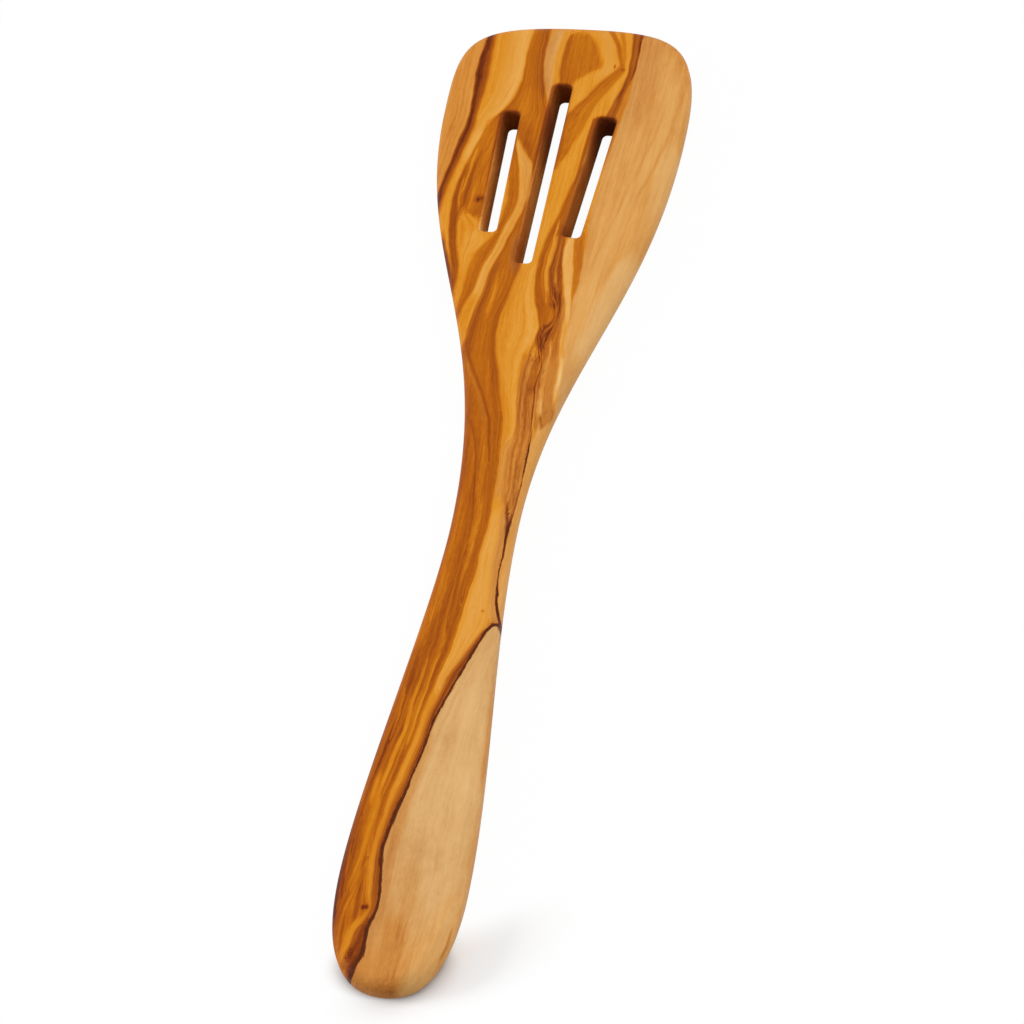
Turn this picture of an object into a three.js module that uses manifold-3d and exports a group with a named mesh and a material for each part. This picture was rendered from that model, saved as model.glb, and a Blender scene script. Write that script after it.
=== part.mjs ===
// Slotted spatula, carved in one piece from a flat olive-wood board.
// Lengths are millimetres and angles are degrees. The spatula lies on its back: +Y runs from the
// handle's end to the blade's tip, +X to the right seen from above, +Z up out of the front face.
// The origin is the middle of the spatula's box, on the back face.

import * as THREE from 'three';
import { mergeVertices } from 'three/addons/utils/BufferGeometryUtils.js';
import Module from 'manifold-3d';

// The board
const overallLength = 300;
const boardThickness = 9;
const edgeRadius = 3.5;
const leastEdgeFlat = 0.4;

// The handle, widest at its swell
const handleSwellFromEnd = 32.5;
const handleLeftHalfWidth = 17.6;
const handleRightHalfWidth = 16.4;

// The neck, the narrowest place
const neckFromEnd = 141.5;
const neckLeftHalfWidth = 8.1;
const neckRightHalfWidth = 9.2;

// The blade, widest just below its tip
const bladeWidestFromTip = 29;
const bladeLeftHalfWidth = 34.4;
const bladeRightHalfWidth = 32.3;

// The slots, a long one between two short ones. They were cut by eye, so each has its own width
// and its own turn to the right.
const slotCornerRadius = 1.3;
const slotRimRadius = 0.5;
const middleSlotLength = 58;
const sideSlotLength = 39;
const slotMiddleFromTip = 49;
const leftSlotWidth = 4.75;
const leftSlotLeftOfMiddle = 14.8;
const leftSlotTurn = -0.5;
const middleSlotWidth = 4.8;
const middleSlotLeftOfMiddle = 2.8;
const middleSlotTurn = 1;
const rightSlotWidth = 5.3;
const rightSlotRightOfMiddle = 9.9;
const rightSlotTurn = 5;
const rightSlotNearerHandle = 0.6;

// How far each curve of the hand-cut outline keeps its direction before it bends, as a share of
// the curve's own span: first where it leaves a station, then where it reaches the next one
const endPull = { leaving: 0.77, reaching: 0.57 };
const leftPull = {
  swellToNeck: { leaving: 0.26, reaching: 0.26 },
  neckToBlade: { leaving: 0.49, reaching: 0.37 },
  bladeToTip: { leaving: 0.78, reaching: 0.98 },
};
const rightPull = {
  swellToNeck: { leaving: 0.32, reaching: 0.34 },
  neckToBlade: { leaving: 0.4, reaching: 0.44 },
  bladeToTip: { leaving: 0.9, reaching: 0.78 },
};

// Fineness of the facets
const stepsPerCurve = 18;
const stepsPerEdge = 5;
const stepsPerSlotCorner = 4;
const stepsPerRim = 2;

const wasm = await Module();
wasm.setup();

// A closed geometry as a solid that can be cut
function solidFrom(geometry) {
  const bare = geometry.clone();
  bare.deleteAttribute('normal');
  bare.deleteAttribute('uv');
  const merged = mergeVertices(bare);
  const mesh = new wasm.Mesh({
    numProp: 3,
    vertProperties: new Float32Array(merged.attributes.position.array),
    triVerts: new Uint32Array(merged.index.array),
  });
  return new wasm.Manifold(mesh);
}

// A cut solid as a geometry again
function geometryFrom(solid) {
  const mesh = solid.getMesh();
  const geometry = new THREE.BufferGeometry();
  geometry.setAttribute('position', new THREE.BufferAttribute(mesh.vertProperties, 3));
  geometry.setIndex(new THREE.BufferAttribute(mesh.triVerts, 1));
  geometry.computeVertexNormals();
  return geometry;
}

// A curve between two stations of one side, upright where it meets them
function curveBetween(from, to, pull) {
  const span = to.y - from.y;
  return new THREE.CubicBezierCurve(
    from,
    new THREE.Vector2(from.x, from.y + pull.leaving * span),
    new THREE.Vector2(to.x, to.y - pull.reaching * span),
    to,
  );
}

// One side of the outline, from the middle of the handle's end to the middle of the tip
function sidePoints(handleHalfWidth, neckHalfWidth, bladeHalfWidth, pull) {
  const end = new THREE.Vector2(0, 0);
  const swell = new THREE.Vector2(handleHalfWidth, handleSwellFromEnd);
  const neck = new THREE.Vector2(neckHalfWidth, neckFromEnd);
  const blade = new THREE.Vector2(bladeHalfWidth, overallLength - bladeWidestFromTip);
  const tip = new THREE.Vector2(0, overallLength);
  const endCurve = new THREE.CubicBezierCurve(
    end,
    new THREE.Vector2(endPull.leaving * swell.x, end.y),
    new THREE.Vector2(swell.x, swell.y - endPull.reaching * swell.y),
    swell,
  );
  const tipCurve = new THREE.CubicBezierCurve(
    blade,
    new THREE.Vector2(blade.x, blade.y + pull.bladeToTip.leaving * bladeWidestFromTip),
    new THREE.Vector2(pull.bladeToTip.reaching * blade.x, tip.y),
    tip,
  );
  const side = new THREE.CurvePath();
  side.add(endCurve);
  side.add(curveBetween(swell, neck, pull.swellToNeck));
  side.add(curveBetween(neck, blade, pull.neckToBlade));
  side.add(tipCurve);
  return side.getPoints(stepsPerCurve);
}

// The whole outline, up the right side and down the left
function spatulaOutline() {
  const right = sidePoints(handleRightHalfWidth, neckRightHalfWidth, bladeRightHalfWidth, rightPull);
  const left = sidePoints(handleLeftHalfWidth, neckLeftHalfWidth, bladeLeftHalfWidth, leftPull);
  const leftDown = left.slice(1, -1).reverse();
  const mirrored = leftDown.map((point) => new THREE.Vector2(-point.x, point.y));
  return new THREE.Shape([...right, ...mirrored]);
}

// The board cut to the outline, with its front and back edges rounded over
function boardGeometry() {
  const radius = Math.min(edgeRadius, (boardThickness - leastEdgeFlat) / 2);
  const geometry = new THREE.ExtrudeGeometry(spatulaOutline(), {
    depth: boardThickness - 2 * radius,
    bevelThickness: radius,
    bevelSize: radius,
    bevelOffset: -radius,
    bevelSegments: stepsPerEdge,
  });
  return geometry.translate(0, 0, radius);
}

// A slot's opening, seen from above and centred on itself
function slotOutline(width, length) {
  const radius = Math.min(slotCornerRadius, width / 2);
  const cornerX = width / 2 - radius;
  const cornerY = length / 2 - radius;
  const quarter = Math.PI / 2;
  const outline = new THREE.Shape();
  outline.absarc(cornerX, cornerY, radius, 0, quarter);
  outline.absarc(-cornerX, cornerY, radius, quarter, 2 * quarter);
  outline.absarc(-cornerX, -cornerY, radius, 2 * quarter, 3 * quarter);
  outline.absarc(cornerX, -cornerY, radius, 3 * quarter, 4 * quarter);
  return outline;
}

// What is cut away for one slot: it widens at both faces, which leaves rounded rims
function slotCutter(slot) {
  const geometry = new THREE.ExtrudeGeometry(slotOutline(slot.width, slot.length), {
    curveSegments: stepsPerSlotCorner,
    depth: boardThickness - 2 * slotRimRadius,
    bevelThickness: slotRimRadius,
    bevelSize: -slotRimRadius,
    bevelOffset: slotRimRadius,
    bevelSegments: stepsPerRim,
  });
  geometry.rotateZ(-THREE.MathUtils.degToRad(slot.turn));
  return geometry.translate(slot.middleX, slot.middleY, slotRimRadius);
}

// The three slots from left to right
function slots() {
  const middleY = overallLength - slotMiddleFromTip;
  const left = {
    width: leftSlotWidth,
    length: sideSlotLength,
    turn: leftSlotTurn,
    middleX: -leftSlotLeftOfMiddle,
    middleY,
  };
  const middle = {
    width: middleSlotWidth,
    length: middleSlotLength,
    turn: middleSlotTurn,
    middleX: -middleSlotLeftOfMiddle,
    middleY,
  };
  const right = {
    width: rightSlotWidth,
    length: sideSlotLength,
    turn: rightSlotTurn,
    middleX: rightSlotRightOfMiddle,
    middleY: middleY - rightSlotNearerHandle,
  };
  return [left, middle, right];
}

// The finished spatula, moved so that the middle of its box stands over the origin
function spatulaMesh() {
  let solid = solidFrom(boardGeometry());
  for (const slot of slots()) {
    solid = solid.subtract(solidFrom(slotCutter(slot)));
  }
  const oiledWood = new THREE.MeshStandardMaterial({ color: '#cf8f45', roughness: 0.5, metalness: 0 });
  const mesh = new THREE.Mesh(geometryFrom(solid), oiledWood);
  mesh.name = 'spatula_body';
  mesh.geometry.computeBoundingBox();
  const middle = mesh.geometry.boundingBox.getCenter(new THREE.Vector3());
  mesh.position.set(-middle.x, -middle.y, 0);
  return mesh;
}

const spatula = new THREE.Group();
spatula.add(spatulaMesh());

export default spatula;
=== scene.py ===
# %% [markdown]
# # A slotted spatula of olive wood
# The real spatula is sawn from one flat board, its edges are rounded over, three slots are cut
# through the blade, and the whole is sanded and oiled. So this scene holds one piece. Its solid
# comes from the frame, and the lesson here is how to give that solid a fine surface and the figure
# of real olive wood. Everything is in metres, and the wood's own numbers are millimetres.

# %% Load the frame
import math

import bpy
import numpy as np
from mathutils import Matrix, Vector, geometry


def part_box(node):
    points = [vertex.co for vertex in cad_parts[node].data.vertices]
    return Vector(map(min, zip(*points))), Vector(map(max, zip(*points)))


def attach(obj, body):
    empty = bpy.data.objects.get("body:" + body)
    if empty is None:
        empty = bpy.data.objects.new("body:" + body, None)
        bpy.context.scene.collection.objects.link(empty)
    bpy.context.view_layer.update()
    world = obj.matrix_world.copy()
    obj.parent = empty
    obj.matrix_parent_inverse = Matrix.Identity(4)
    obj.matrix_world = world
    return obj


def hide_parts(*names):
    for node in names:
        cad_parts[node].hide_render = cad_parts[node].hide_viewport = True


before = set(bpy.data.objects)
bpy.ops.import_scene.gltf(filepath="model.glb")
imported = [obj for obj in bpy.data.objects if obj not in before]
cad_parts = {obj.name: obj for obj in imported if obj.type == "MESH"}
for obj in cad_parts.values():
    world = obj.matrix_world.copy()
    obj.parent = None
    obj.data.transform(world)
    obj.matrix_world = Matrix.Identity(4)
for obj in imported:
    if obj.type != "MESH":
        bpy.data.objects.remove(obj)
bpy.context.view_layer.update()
MM = 0.001
low_corner, high_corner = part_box("spatula_body")
board_length = (high_corner.y - low_corner.y) / MM
board_thickness = (high_corner.z - low_corner.z) / MM
print(f"the board is {board_length:.1f} mm long and {board_thickness:.2f} mm thick")

# %% [markdown]
# ## The outline
# A maker draws the outline of such a spatula by hand, so its left and right sides are not quite
# alike. It could be traced with many short straight lines, but four cubic curves a side say the
# same with few numbers: round the handle's end, up to the slim neck, out to the wide blade, and
# round the tip. The curves are then walked at an even pace, because an even spacing gives even
# shading later.

# %% Draw the outline
HANDLE_SWELL_FROM_END = 32.5
NECK_FROM_END = 141.5
BLADE_WIDEST_FROM_TIP = 29.0
# A pull says how far a curve keeps its direction, as a share of its span: leaving, then reaching
END_PULL = (0.77, 0.57)
RIGHT_SIDE = {
    "handle": 16.4, "neck": 9.2, "blade": 32.3,
    "swell_to_neck": (0.32, 0.34), "neck_to_blade": (0.40, 0.44), "blade_to_tip": (0.90, 0.78)}
LEFT_SIDE = {
    "handle": 17.6, "neck": 8.1, "blade": 34.4,
    "swell_to_neck": (0.26, 0.26), "neck_to_blade": (0.49, 0.37), "blade_to_tip": (0.78, 0.98)}
OUTLINE_STEP = 0.6
STEPS_PER_CURVE = 400


def cubic(first, second, third, fourth):
    """Points of a cubic curve: the four points, weighted by the Bernstein polynomials of t."""
    t = np.linspace(0, 1, STEPS_PER_CURVE, endpoint=False)[:, None]
    points = np.array([first, second, third, fourth], float)
    weights = np.hstack([(1 - t) ** 3, 3 * t * (1 - t) ** 2, 3 * t ** 2 * (1 - t), t ** 3])
    return weights @ points


def upright_curve(start, finish, pull):
    """A curve between two stations of one side, upright where it meets them: each inner point
    lies straight above or below its station, a share of the rise away."""
    leaving, reaching = pull
    rise = finish[1] - start[1]
    above_start = (start[0], start[1] + leaving * rise)
    below_finish = (finish[0], finish[1] - reaching * rise)
    return cubic(start, above_start, below_finish, finish)


def one_side(side):
    """One side of the outline, from the middle of the handle's end up to the middle of the tip."""
    swell = (side["handle"], HANDLE_SWELL_FROM_END)
    neck = (side["neck"], NECK_FROM_END)
    blade = (side["blade"], board_length - BLADE_WIDEST_FROM_TIP)
    leaving, reaching = END_PULL
    end_curve = cubic((0, 0), (leaving * swell[0], 0), (swell[0], (1 - reaching) * swell[1]), swell)
    leaving, reaching = side["blade_to_tip"]
    tip_curve = cubic(
        blade, (blade[0], blade[1] + leaving * BLADE_WIDEST_FROM_TIP),
        (reaching * blade[0], board_length), (0, board_length))
    return np.vstack([
        end_curve, upright_curve(swell, neck, side["swell_to_neck"]),
        upright_curve(neck, blade, side["neck_to_blade"]), tip_curve])


def even_loop(points, step):
    """A closed line walked at an even pace: points at equal shares of its length."""
    closed = np.vstack([points, points[:1]])
    walked = np.concatenate([[0], np.cumsum(np.hypot(*np.diff(closed, axis=0).T))])
    count = int(round(walked[-1] / step))
    places = np.linspace(0, walked[-1], count, endpoint=False)
    return np.stack([np.interp(places, walked, closed[:, axis]) for axis in (0, 1)], axis=1)


def loop_normals(points):
    """Outward normals of a closed line that runs counter-clockwise: the direction from the point
    before to the point after, turned by a right angle."""
    ahead = np.roll(points, -1, axis=0) - np.roll(points, 1, axis=0)
    ahead /= np.hypot(*ahead.T)[:, None]
    return np.stack([ahead[:, 1], -ahead[:, 0]], axis=1)


right = one_side(RIGHT_SIDE)
left = one_side(LEFT_SIDE)
left_down = np.vstack([[(0, board_length)], left[:0:-1]]) * (-1, 1)
box_middle_x = (RIGHT_SIDE["blade"] - LEFT_SIDE["blade"]) / 2
outline = even_loop(np.vstack([right, left_down]), OUTLINE_STEP) - (box_middle_x, board_length / 2)
outline_out = loop_normals(outline)
print(f"the outline has {len(outline)} points, from {outline.min(0)} to {outline.max(0)}")

# %% [markdown]
# ## The rounded edge
# The edge was rounded over from both faces with sandpaper until hardly a flat was left. A bevel
# modifier would do it, but a profile carried round the outline is exact: each row of the grid is
# the outline moved inwards and up by one step of the profile, a quarter circle, a short flat and
# another quarter circle. The slots get the same treatment with a much smaller radius.

# %% Carry the edge profile round the outline
EDGE_RADIUS = 3.5
FRONT_EDGE_STEPS = 15
BACK_EDGE_STEPS = 6
FLAT_STEPS = 2


def quarter_circle(radius, steps):
    """Rows (inset, drop) that leave a face level and end upright, a radius below it."""
    angle = np.linspace(0, math.pi / 2, steps + 1)
    return radius * np.stack([1 - np.sin(angle), 1 - np.cos(angle)], axis=1)


def rounded_profile(radius, thickness, front_steps, flat_steps, back_steps):
    """Rows (inset, height) from the front face to the back: a quarter circle that leaves the face
    and turns down, a straight wall, and a quarter circle that turns in under the back face."""
    over = quarter_circle(radius, front_steps) * (1, -1) + (0, thickness)
    under = quarter_circle(radius, back_steps)[::-1]
    share = np.linspace(0, 1, flat_steps + 1)[1:-1, None]
    wall = over[-1] + share * (under[0] - over[-1])
    return np.vstack([over, wall, under])


def carried_round(loop, inward, profile):
    """Grid (rows, loop, xyz): the loop moved along its inward direction by each row's inset."""
    flat = loop[None] + profile[:, None, :1] * inward[None]
    height = np.broadcast_to(profile[:, None, 1:], flat.shape[:2] + (1,))
    return np.concatenate([flat, height], axis=2)


edge_profile = rounded_profile(
    EDGE_RADIUS, board_thickness, FRONT_EDGE_STEPS, FLAT_STEPS, BACK_EDGE_STEPS)
edge_grid = carried_round(outline, -outline_out, edge_profile)
print(f"the edge is a grid of {edge_grid.shape[0]} rows and {edge_grid.shape[1]} points")

# %% [markdown]
# ## The slots
# The slots were routed by eye: a long one between two short ones, with tight corners, each a little
# turned and no two quite alike. A boolean would cut them but leaves long thin triangles, so their
# walls are grids too: a rounded rectangle, turned into place, carried down through the board.

# %% Make the slot walls
SLOTS = [
    {"name": "left", "x": -14.8, "from_tip": 49.0, "width": 4.75, "length": 39.0, "turn": -0.5},
    {"name": "middle", "x": -2.8, "from_tip": 49.0, "width": 4.8, "length": 58.0, "turn": 1.0},
    {"name": "right", "x": 9.9, "from_tip": 49.6, "width": 5.3, "length": 39.0, "turn": 5.0}]
SLOT_CORNER_RADIUS = 1.3
SLOT_RIM_RADIUS = 0.5
SLOT_STEP = 0.55
STEPS_PER_CORNER = 24
RIM_STEPS = 4
WALL_STEPS = 10


def rounded_rectangle(width, length, radius):
    """Quarter circles round the four corner centres, counter-clockwise; the straight stretches
    between them need no points of their own."""
    turn = np.linspace(0, 2 * math.pi, 4 * STEPS_PER_CORNER, endpoint=False).reshape(4, -1)
    signs = np.array([(1, 1), (-1, 1), (-1, -1), (1, -1)])
    centres = signs * (width / 2 - radius, length / 2 - radius)
    arcs = centres[:, None] + radius * np.stack([np.cos(turn), np.sin(turn)], axis=2)
    return arcs.reshape(-1, 2)


def slot_place(slot):
    """Middle of a slot and the matrix that turns its own axes into the board's."""
    turn = math.radians(slot["turn"])
    middle = np.array([slot["x"] - box_middle_x, board_length / 2 - slot["from_tip"]])
    axes = np.array([[math.cos(turn), math.sin(turn)], [-math.sin(turn), math.cos(turn)]])
    return middle, axes


slot_profile = rounded_profile(SLOT_RIM_RADIUS, board_thickness, RIM_STEPS, WALL_STEPS, RIM_STEPS)
slot_profile[:, 0] *= -1
slot_grids = []
for slot in SLOTS:
    middle, axes = slot_place(slot)
    rim = even_loop(rounded_rectangle(slot["width"], slot["length"], SLOT_CORNER_RADIUS), SLOT_STEP)
    inward = -loop_normals(rim)
    walls = carried_round(rim @ axes.T + middle, inward @ axes.T, slot_profile)
    slot_grids.append(walls)
    print(f"the {slot['name']} slot has walls of {walls.shape[0]} rows and {walls.shape[1]} points")

# %% [markdown]
# ## The two faces
# What is left is flat: the front and the back, each bounded by the first or last row of the edge
# and by the slots' rims. A flat face with holes is no plain grid, so rows of points are spread over
# it, closer across the grain than along it because the figure is finer that way, and Blender's
# constrained Delaunay triangulation joins them to the rims.

# %% Fill the faces
FRONT_SPACING = (0.29, 0.56)
BACK_SPACING = (0.85, 1.6)
CLEAR_OF_RIM = 0.45
ALL_TRIANGLES = 0
SAME_POINT = 1e-6


def spread_points(boundary, spacing):
    """Rows of points inside the boundary and outside the slots: each second row is moved by half a
    step, and points closer to a rim than a share of the spacing are left out."""
    across, ahead = spacing
    low, high = boundary.min(0), boundary.max(0)
    rows = np.arange(low[1] + ahead / 2, high[1], ahead)
    columns = np.arange(low[0], high[0], across)
    x, y = np.meshgrid(columns, rows)
    x = x + (np.arange(len(rows)) % 2)[:, None] * across / 2
    top, bottom = boundary[:, 1].argmax(), boundary[:, 1].argmin()
    turned = np.roll(boundary, -bottom, axis=0)
    upper = (top - bottom) % len(boundary)
    going_up, going_down = turned[:upper + 1], turned[upper:][::-1]
    margin = CLEAR_OF_RIM * ahead
    right_limit = np.interp(y, going_up[:, 1], going_up[:, 0]) - margin
    left_limit = np.interp(y, going_down[:, 1], going_down[:, 0]) + margin
    keep = (x > left_limit) & (x < right_limit)
    for slot in SLOTS:
        middle, axes = slot_place(slot)
        own = np.abs((np.stack([x, y], axis=2) - middle) @ axes)
        half = np.array([slot["width"], slot["length"]]) / 2 + SLOT_RIM_RADIUS + CLEAR_OF_RIM * across
        keep &= ~((own[..., 0] < half[0]) & (own[..., 1] < half[1]))
    return np.stack([x[keep], y[keep]], axis=1)


def fill_face(boundary, holes, spacing):
    """Triangles of a flat face with holes: returns the inner points, and triangles that count the
    boundary first, then the holes, then the inner points."""
    inner = spread_points(boundary, spacing)
    loops = [boundary] + holes
    starts = np.cumsum([0] + [len(loop) for loop in loops])
    ring_edges = [
        np.stack([np.arange(len(loop)), np.roll(np.arange(len(loop)), -1)], axis=1) + start
        for loop, start in zip(loops, starts)]
    points = np.vstack(loops + [inner])
    filled = geometry.delaunay_2d_cdt(
        list(map(Vector, points.tolist())), np.vstack(ring_edges).tolist(), [], ALL_TRIANGLES,
        SAME_POINT, True)
    faces, origins = filled[2], filled[3]
    came_from = np.array([origin[0] for origin in origins])
    triangles = came_from[np.array(faces)]
    ring = np.repeat(np.arange(len(loops)), np.diff(starts))
    ring = np.concatenate([ring, np.full(len(inner), -1)])
    same_hole = (ring[triangles] == ring[triangles[:, :1]]).all(1) & (ring[triangles[:, 0]] > 0)
    centre = points[triangles].mean(1)
    return inner, triangles[~same_hole & inside_loop(boundary, centre, ring[triangles])]


def inside_loop(boundary, centre, rings):
    """True for triangles inside the boundary. Only a triangle with all its corners on the boundary
    can lie outside, and it does where the boundary bends inwards there."""
    suspects = np.flatnonzero((rings == 0).all(1))
    inside = np.ones(len(centre), bool)
    ahead = np.roll(boundary, -1, axis=0)
    point = centre[suspects][:, None]
    crosses = (boundary[None, :, 1] > point[..., 1]) != (ahead[None, :, 1] > point[..., 1])
    rise = np.where(ahead[:, 1] == boundary[:, 1], 1, ahead[:, 1] - boundary[:, 1])
    reach = boundary[:, 0] + (point[..., 1] - boundary[:, 1]) / rise * (ahead[:, 0] - boundary[:, 0])
    inside[suspects] = (crosses & (point[..., 0] < reach)).sum(1) % 2 == 1
    return inside


front_inner, front_triangles = fill_face(
    edge_grid[0, :, :2], [walls[0, :, :2] for walls in slot_grids], FRONT_SPACING)
back_inner, back_triangles = fill_face(
    edge_grid[-1, :, :2], [walls[-1, :, :2] for walls in slot_grids], BACK_SPACING)
print(f"the front has {len(front_triangles)} triangles and the back {len(back_triangles)}")

# %% [markdown]
# ## One mesh
# All grids and faces share their border points, so they become one closed mesh. Each grid knows
# where its points start, which lets whole arrays of faces be written at once. The volume inside the
# faces is a good test: it is positive only if every face points outwards.

# %% Join the grids and faces


def grid_quads(shape, start, outwards):
    """Quads between neighbouring rows of a grid that is closed along its loop."""
    rows, loop = shape[:2]
    corner = start + np.arange(rows * loop).reshape(rows, loop)
    beside = np.roll(corner, -1, axis=1)
    quads = np.stack([corner[:-1], corner[1:], beside[1:], beside[:-1]], axis=2).reshape(-1, 4)
    return quads if outwards else quads[:, ::-1]


def face_triangles(triangles, row, inner_start):
    """Triangles renumbered from their own face's counting to the mesh's: the borders are rows of
    the grids, and the inner points follow."""
    borders = [np.arange(grid.shape[1]) + start + row % grid.shape[0] * grid.shape[1]
               for grid, start in zip(grids, grid_starts)]
    inner_count = triangles.max() + 1 - sum(len(border) for border in borders)
    return np.concatenate(borders + [inner_start + np.arange(inner_count)])[triangles]


grids = [edge_grid] + slot_grids
grid_sizes = [grid.shape[0] * grid.shape[1] for grid in grids]
grid_starts = np.cumsum([0] + grid_sizes[:-1])
front_start = sum(grid_sizes)
back_start = front_start + len(front_inner)
front_points = np.column_stack([front_inner, np.full(len(front_inner), board_thickness)])
back_points = np.column_stack([back_inner, np.zeros(len(back_inner))])
points = np.vstack([grid.reshape(-1, 3) for grid in grids] + [front_points, back_points])
quads = np.vstack([
    grid_quads(grid.shape, start, grid is edge_grid) for grid, start in zip(grids, grid_starts)])
front_faces = face_triangles(front_triangles, 0, front_start)
back_faces = face_triangles(back_triangles, -1, back_start)[:, ::-1]
triangles = np.vstack([front_faces, back_faces])
corners = np.concatenate([quads.ravel(), triangles.ravel()])
sides = np.concatenate([np.full(len(quads), 4), np.full(len(triangles), 3)])
halves = np.vstack([quads[:, [0, 1, 2]], quads[:, [0, 2, 3]], triangles])
first, second, third = (points[halves[:, corner]] for corner in range(3))
volume = np.einsum("ij,ij->", first, np.cross(second, third)) / 6
print(f"{len(points)} points, {len(halves)} triangles, {volume / 1000:.1f} cubic centimetres")

# %% Put them into a mesh
mesh = bpy.data.meshes.new("spatula")
mesh.vertices.add(len(points))
mesh.vertices.foreach_set("co", (points * MM).ravel())
mesh.loops.add(len(corners))
mesh.loops.foreach_set("vertex_index", corners.astype(np.int32))
mesh.polygons.add(len(sides))
mesh.polygons.foreach_set("loop_start", (np.cumsum(sides) - sides).astype(np.int32))
mesh.update(calc_edges=True)
mesh.validate()
mesh.shade_smooth()
spatula = bpy.data.objects.new("spatula", mesh)
bpy.context.scene.collection.objects.link(spatula)
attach(spatula, "root")
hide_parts("spatula_body")
print(f"the mesh has {len(mesh.polygons)} faces")

# %% [markdown]
# ## The figure of the wood
# Olive grows slowly and crookedly. Its heartwood is golden with brown bands, each some years of
# growth cut at a slant, and the young sapwood outside it is pale and plain. Dark lines run where an
# old wound or a fungus came to a stop. A noise texture alone gives no such drawing, so the bands are
# drawn as they lie on the board itself: a band has a left and a right edge at a few stations along
# the board, in millimetres, a tone from 0, pale, to 1, nearly black, a share of sapwood colour and a
# softness. Smooth curves join the stations, and each band is laid over the ones before it, as washes
# of stain are.

# %% Tools that draw a band
OUT = 60.0
WIDEST = 36.0
NARROWEST = 0.1
BAND_FADE = 5.0


def band(name, tone, sap, soft, stations, fade=BAND_FADE, bends=True):
    """A band of the figure. A station is (place along the board, left edge, right edge). The tone
    and the softness are one number each, or two where the left and right edges differ. The fade is
    the length over which both ends of the band come and go. A tint doesn't bend the grain."""
    return {
        "name": name, "tone": tone, "sap": sap, "soft": soft, "stations": stations, "fade": fade,
        "bends": bends}


def tint(name, tone, sap, soft, stations, fade=BAND_FADE):
    """A band that colours the wood and leaves the grain as it runs."""
    return band(name, tone, sap, soft, stations, fade, False)


def along(stations, y):
    """Smooth curve through the stations: a cubic Hermite whose slope at each station is the mean
    slope around it, held constant beyond both ends."""
    table = np.array(sorted(stations), float)
    places, values = table[:, 0], table[:, 1:]
    slopes = np.gradient(values, places, axis=0)
    y = np.clip(y, places[0], places[-1])
    piece = np.clip(np.searchsorted(places, y) - 1, 0, len(places) - 2)
    span = (places[piece + 1] - places[piece])[:, None]
    t = (y - places[piece])[:, None] / span
    leaving = (1 + 2 * t) * (1 - t) ** 2 * values[piece] + t * (1 - t) ** 2 * span * slopes[piece]
    reaching = t ** 2 * (3 - 2 * t) * values[piece + 1] + t ** 2 * (t - 1) * span * slopes[piece + 1]
    return leaving + reaching


def ease(low, high, value):
    """Smooth step from 0 at low to 1 at high."""
    t = np.clip((value - low) / (high - low), 0, 1)
    return t * t * (3 - 2 * t)


def left_and_right(value):
    """A pair as it is, and one number as a pair of equals."""
    return value if isinstance(value, tuple) else (value, value)


def band_mask(one, x, y, edges):
    """1 inside a band and 0 outside: the distance to each edge, blurred over the softness there,
    times a fade at both of the band's ends."""
    soft_left, soft_right = left_and_right(one["soft"])
    after_left = ease(-soft_left / 2, soft_left / 2, x - edges[:, 0])
    before_right = ease(-soft_right / 2, soft_right / 2, edges[:, 1] - x)
    places = [station[0] for station in one["stations"]]
    half = one["fade"] / 2
    starts = ease(min(places) - half, min(places) + half, y)
    stops = ease(max(places) - half, max(places) + half, y)
    return np.minimum(after_left, before_right) * starts * (1 - stops)


def lay(field, value, mask):
    """The field moved towards a value by the mask, in place."""
    field += (value - field) * mask


def lay_band(one, x, y, fields, within=1.0):
    """A band laid over the tone, the sapwood share and the place across the grain, as far as within
    allows. Inside a band that bends the grain the place across is the share of the way from edge to
    edge, times the band's mean width, so that the fine lines follow the band."""
    tone, sap, across = fields
    edges = along(one["stations"], y)
    mask = band_mask(one, x, y, edges) * within
    near = np.clip(edges, -WIDEST, WIDEST)
    share = np.clip((x - near[:, 0]) / np.maximum(near[:, 1] - near[:, 0], NARROWEST), 0, 1)
    tone_left, tone_right = left_and_right(one["tone"])
    lay(tone, tone_left + (tone_right - tone_left) * share, mask)
    lay(sap, one["sap"], mask)
    if one["bends"]:
        mean_width = (near[:, 1] - near[:, 0]).mean()
        lay(across, near[:, 1].mean() + (share - 1) * mean_width, mask)


print(f"a smooth step has risen by {ease(0, 1, 0.25):.2f} after a quarter of its way")

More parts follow.
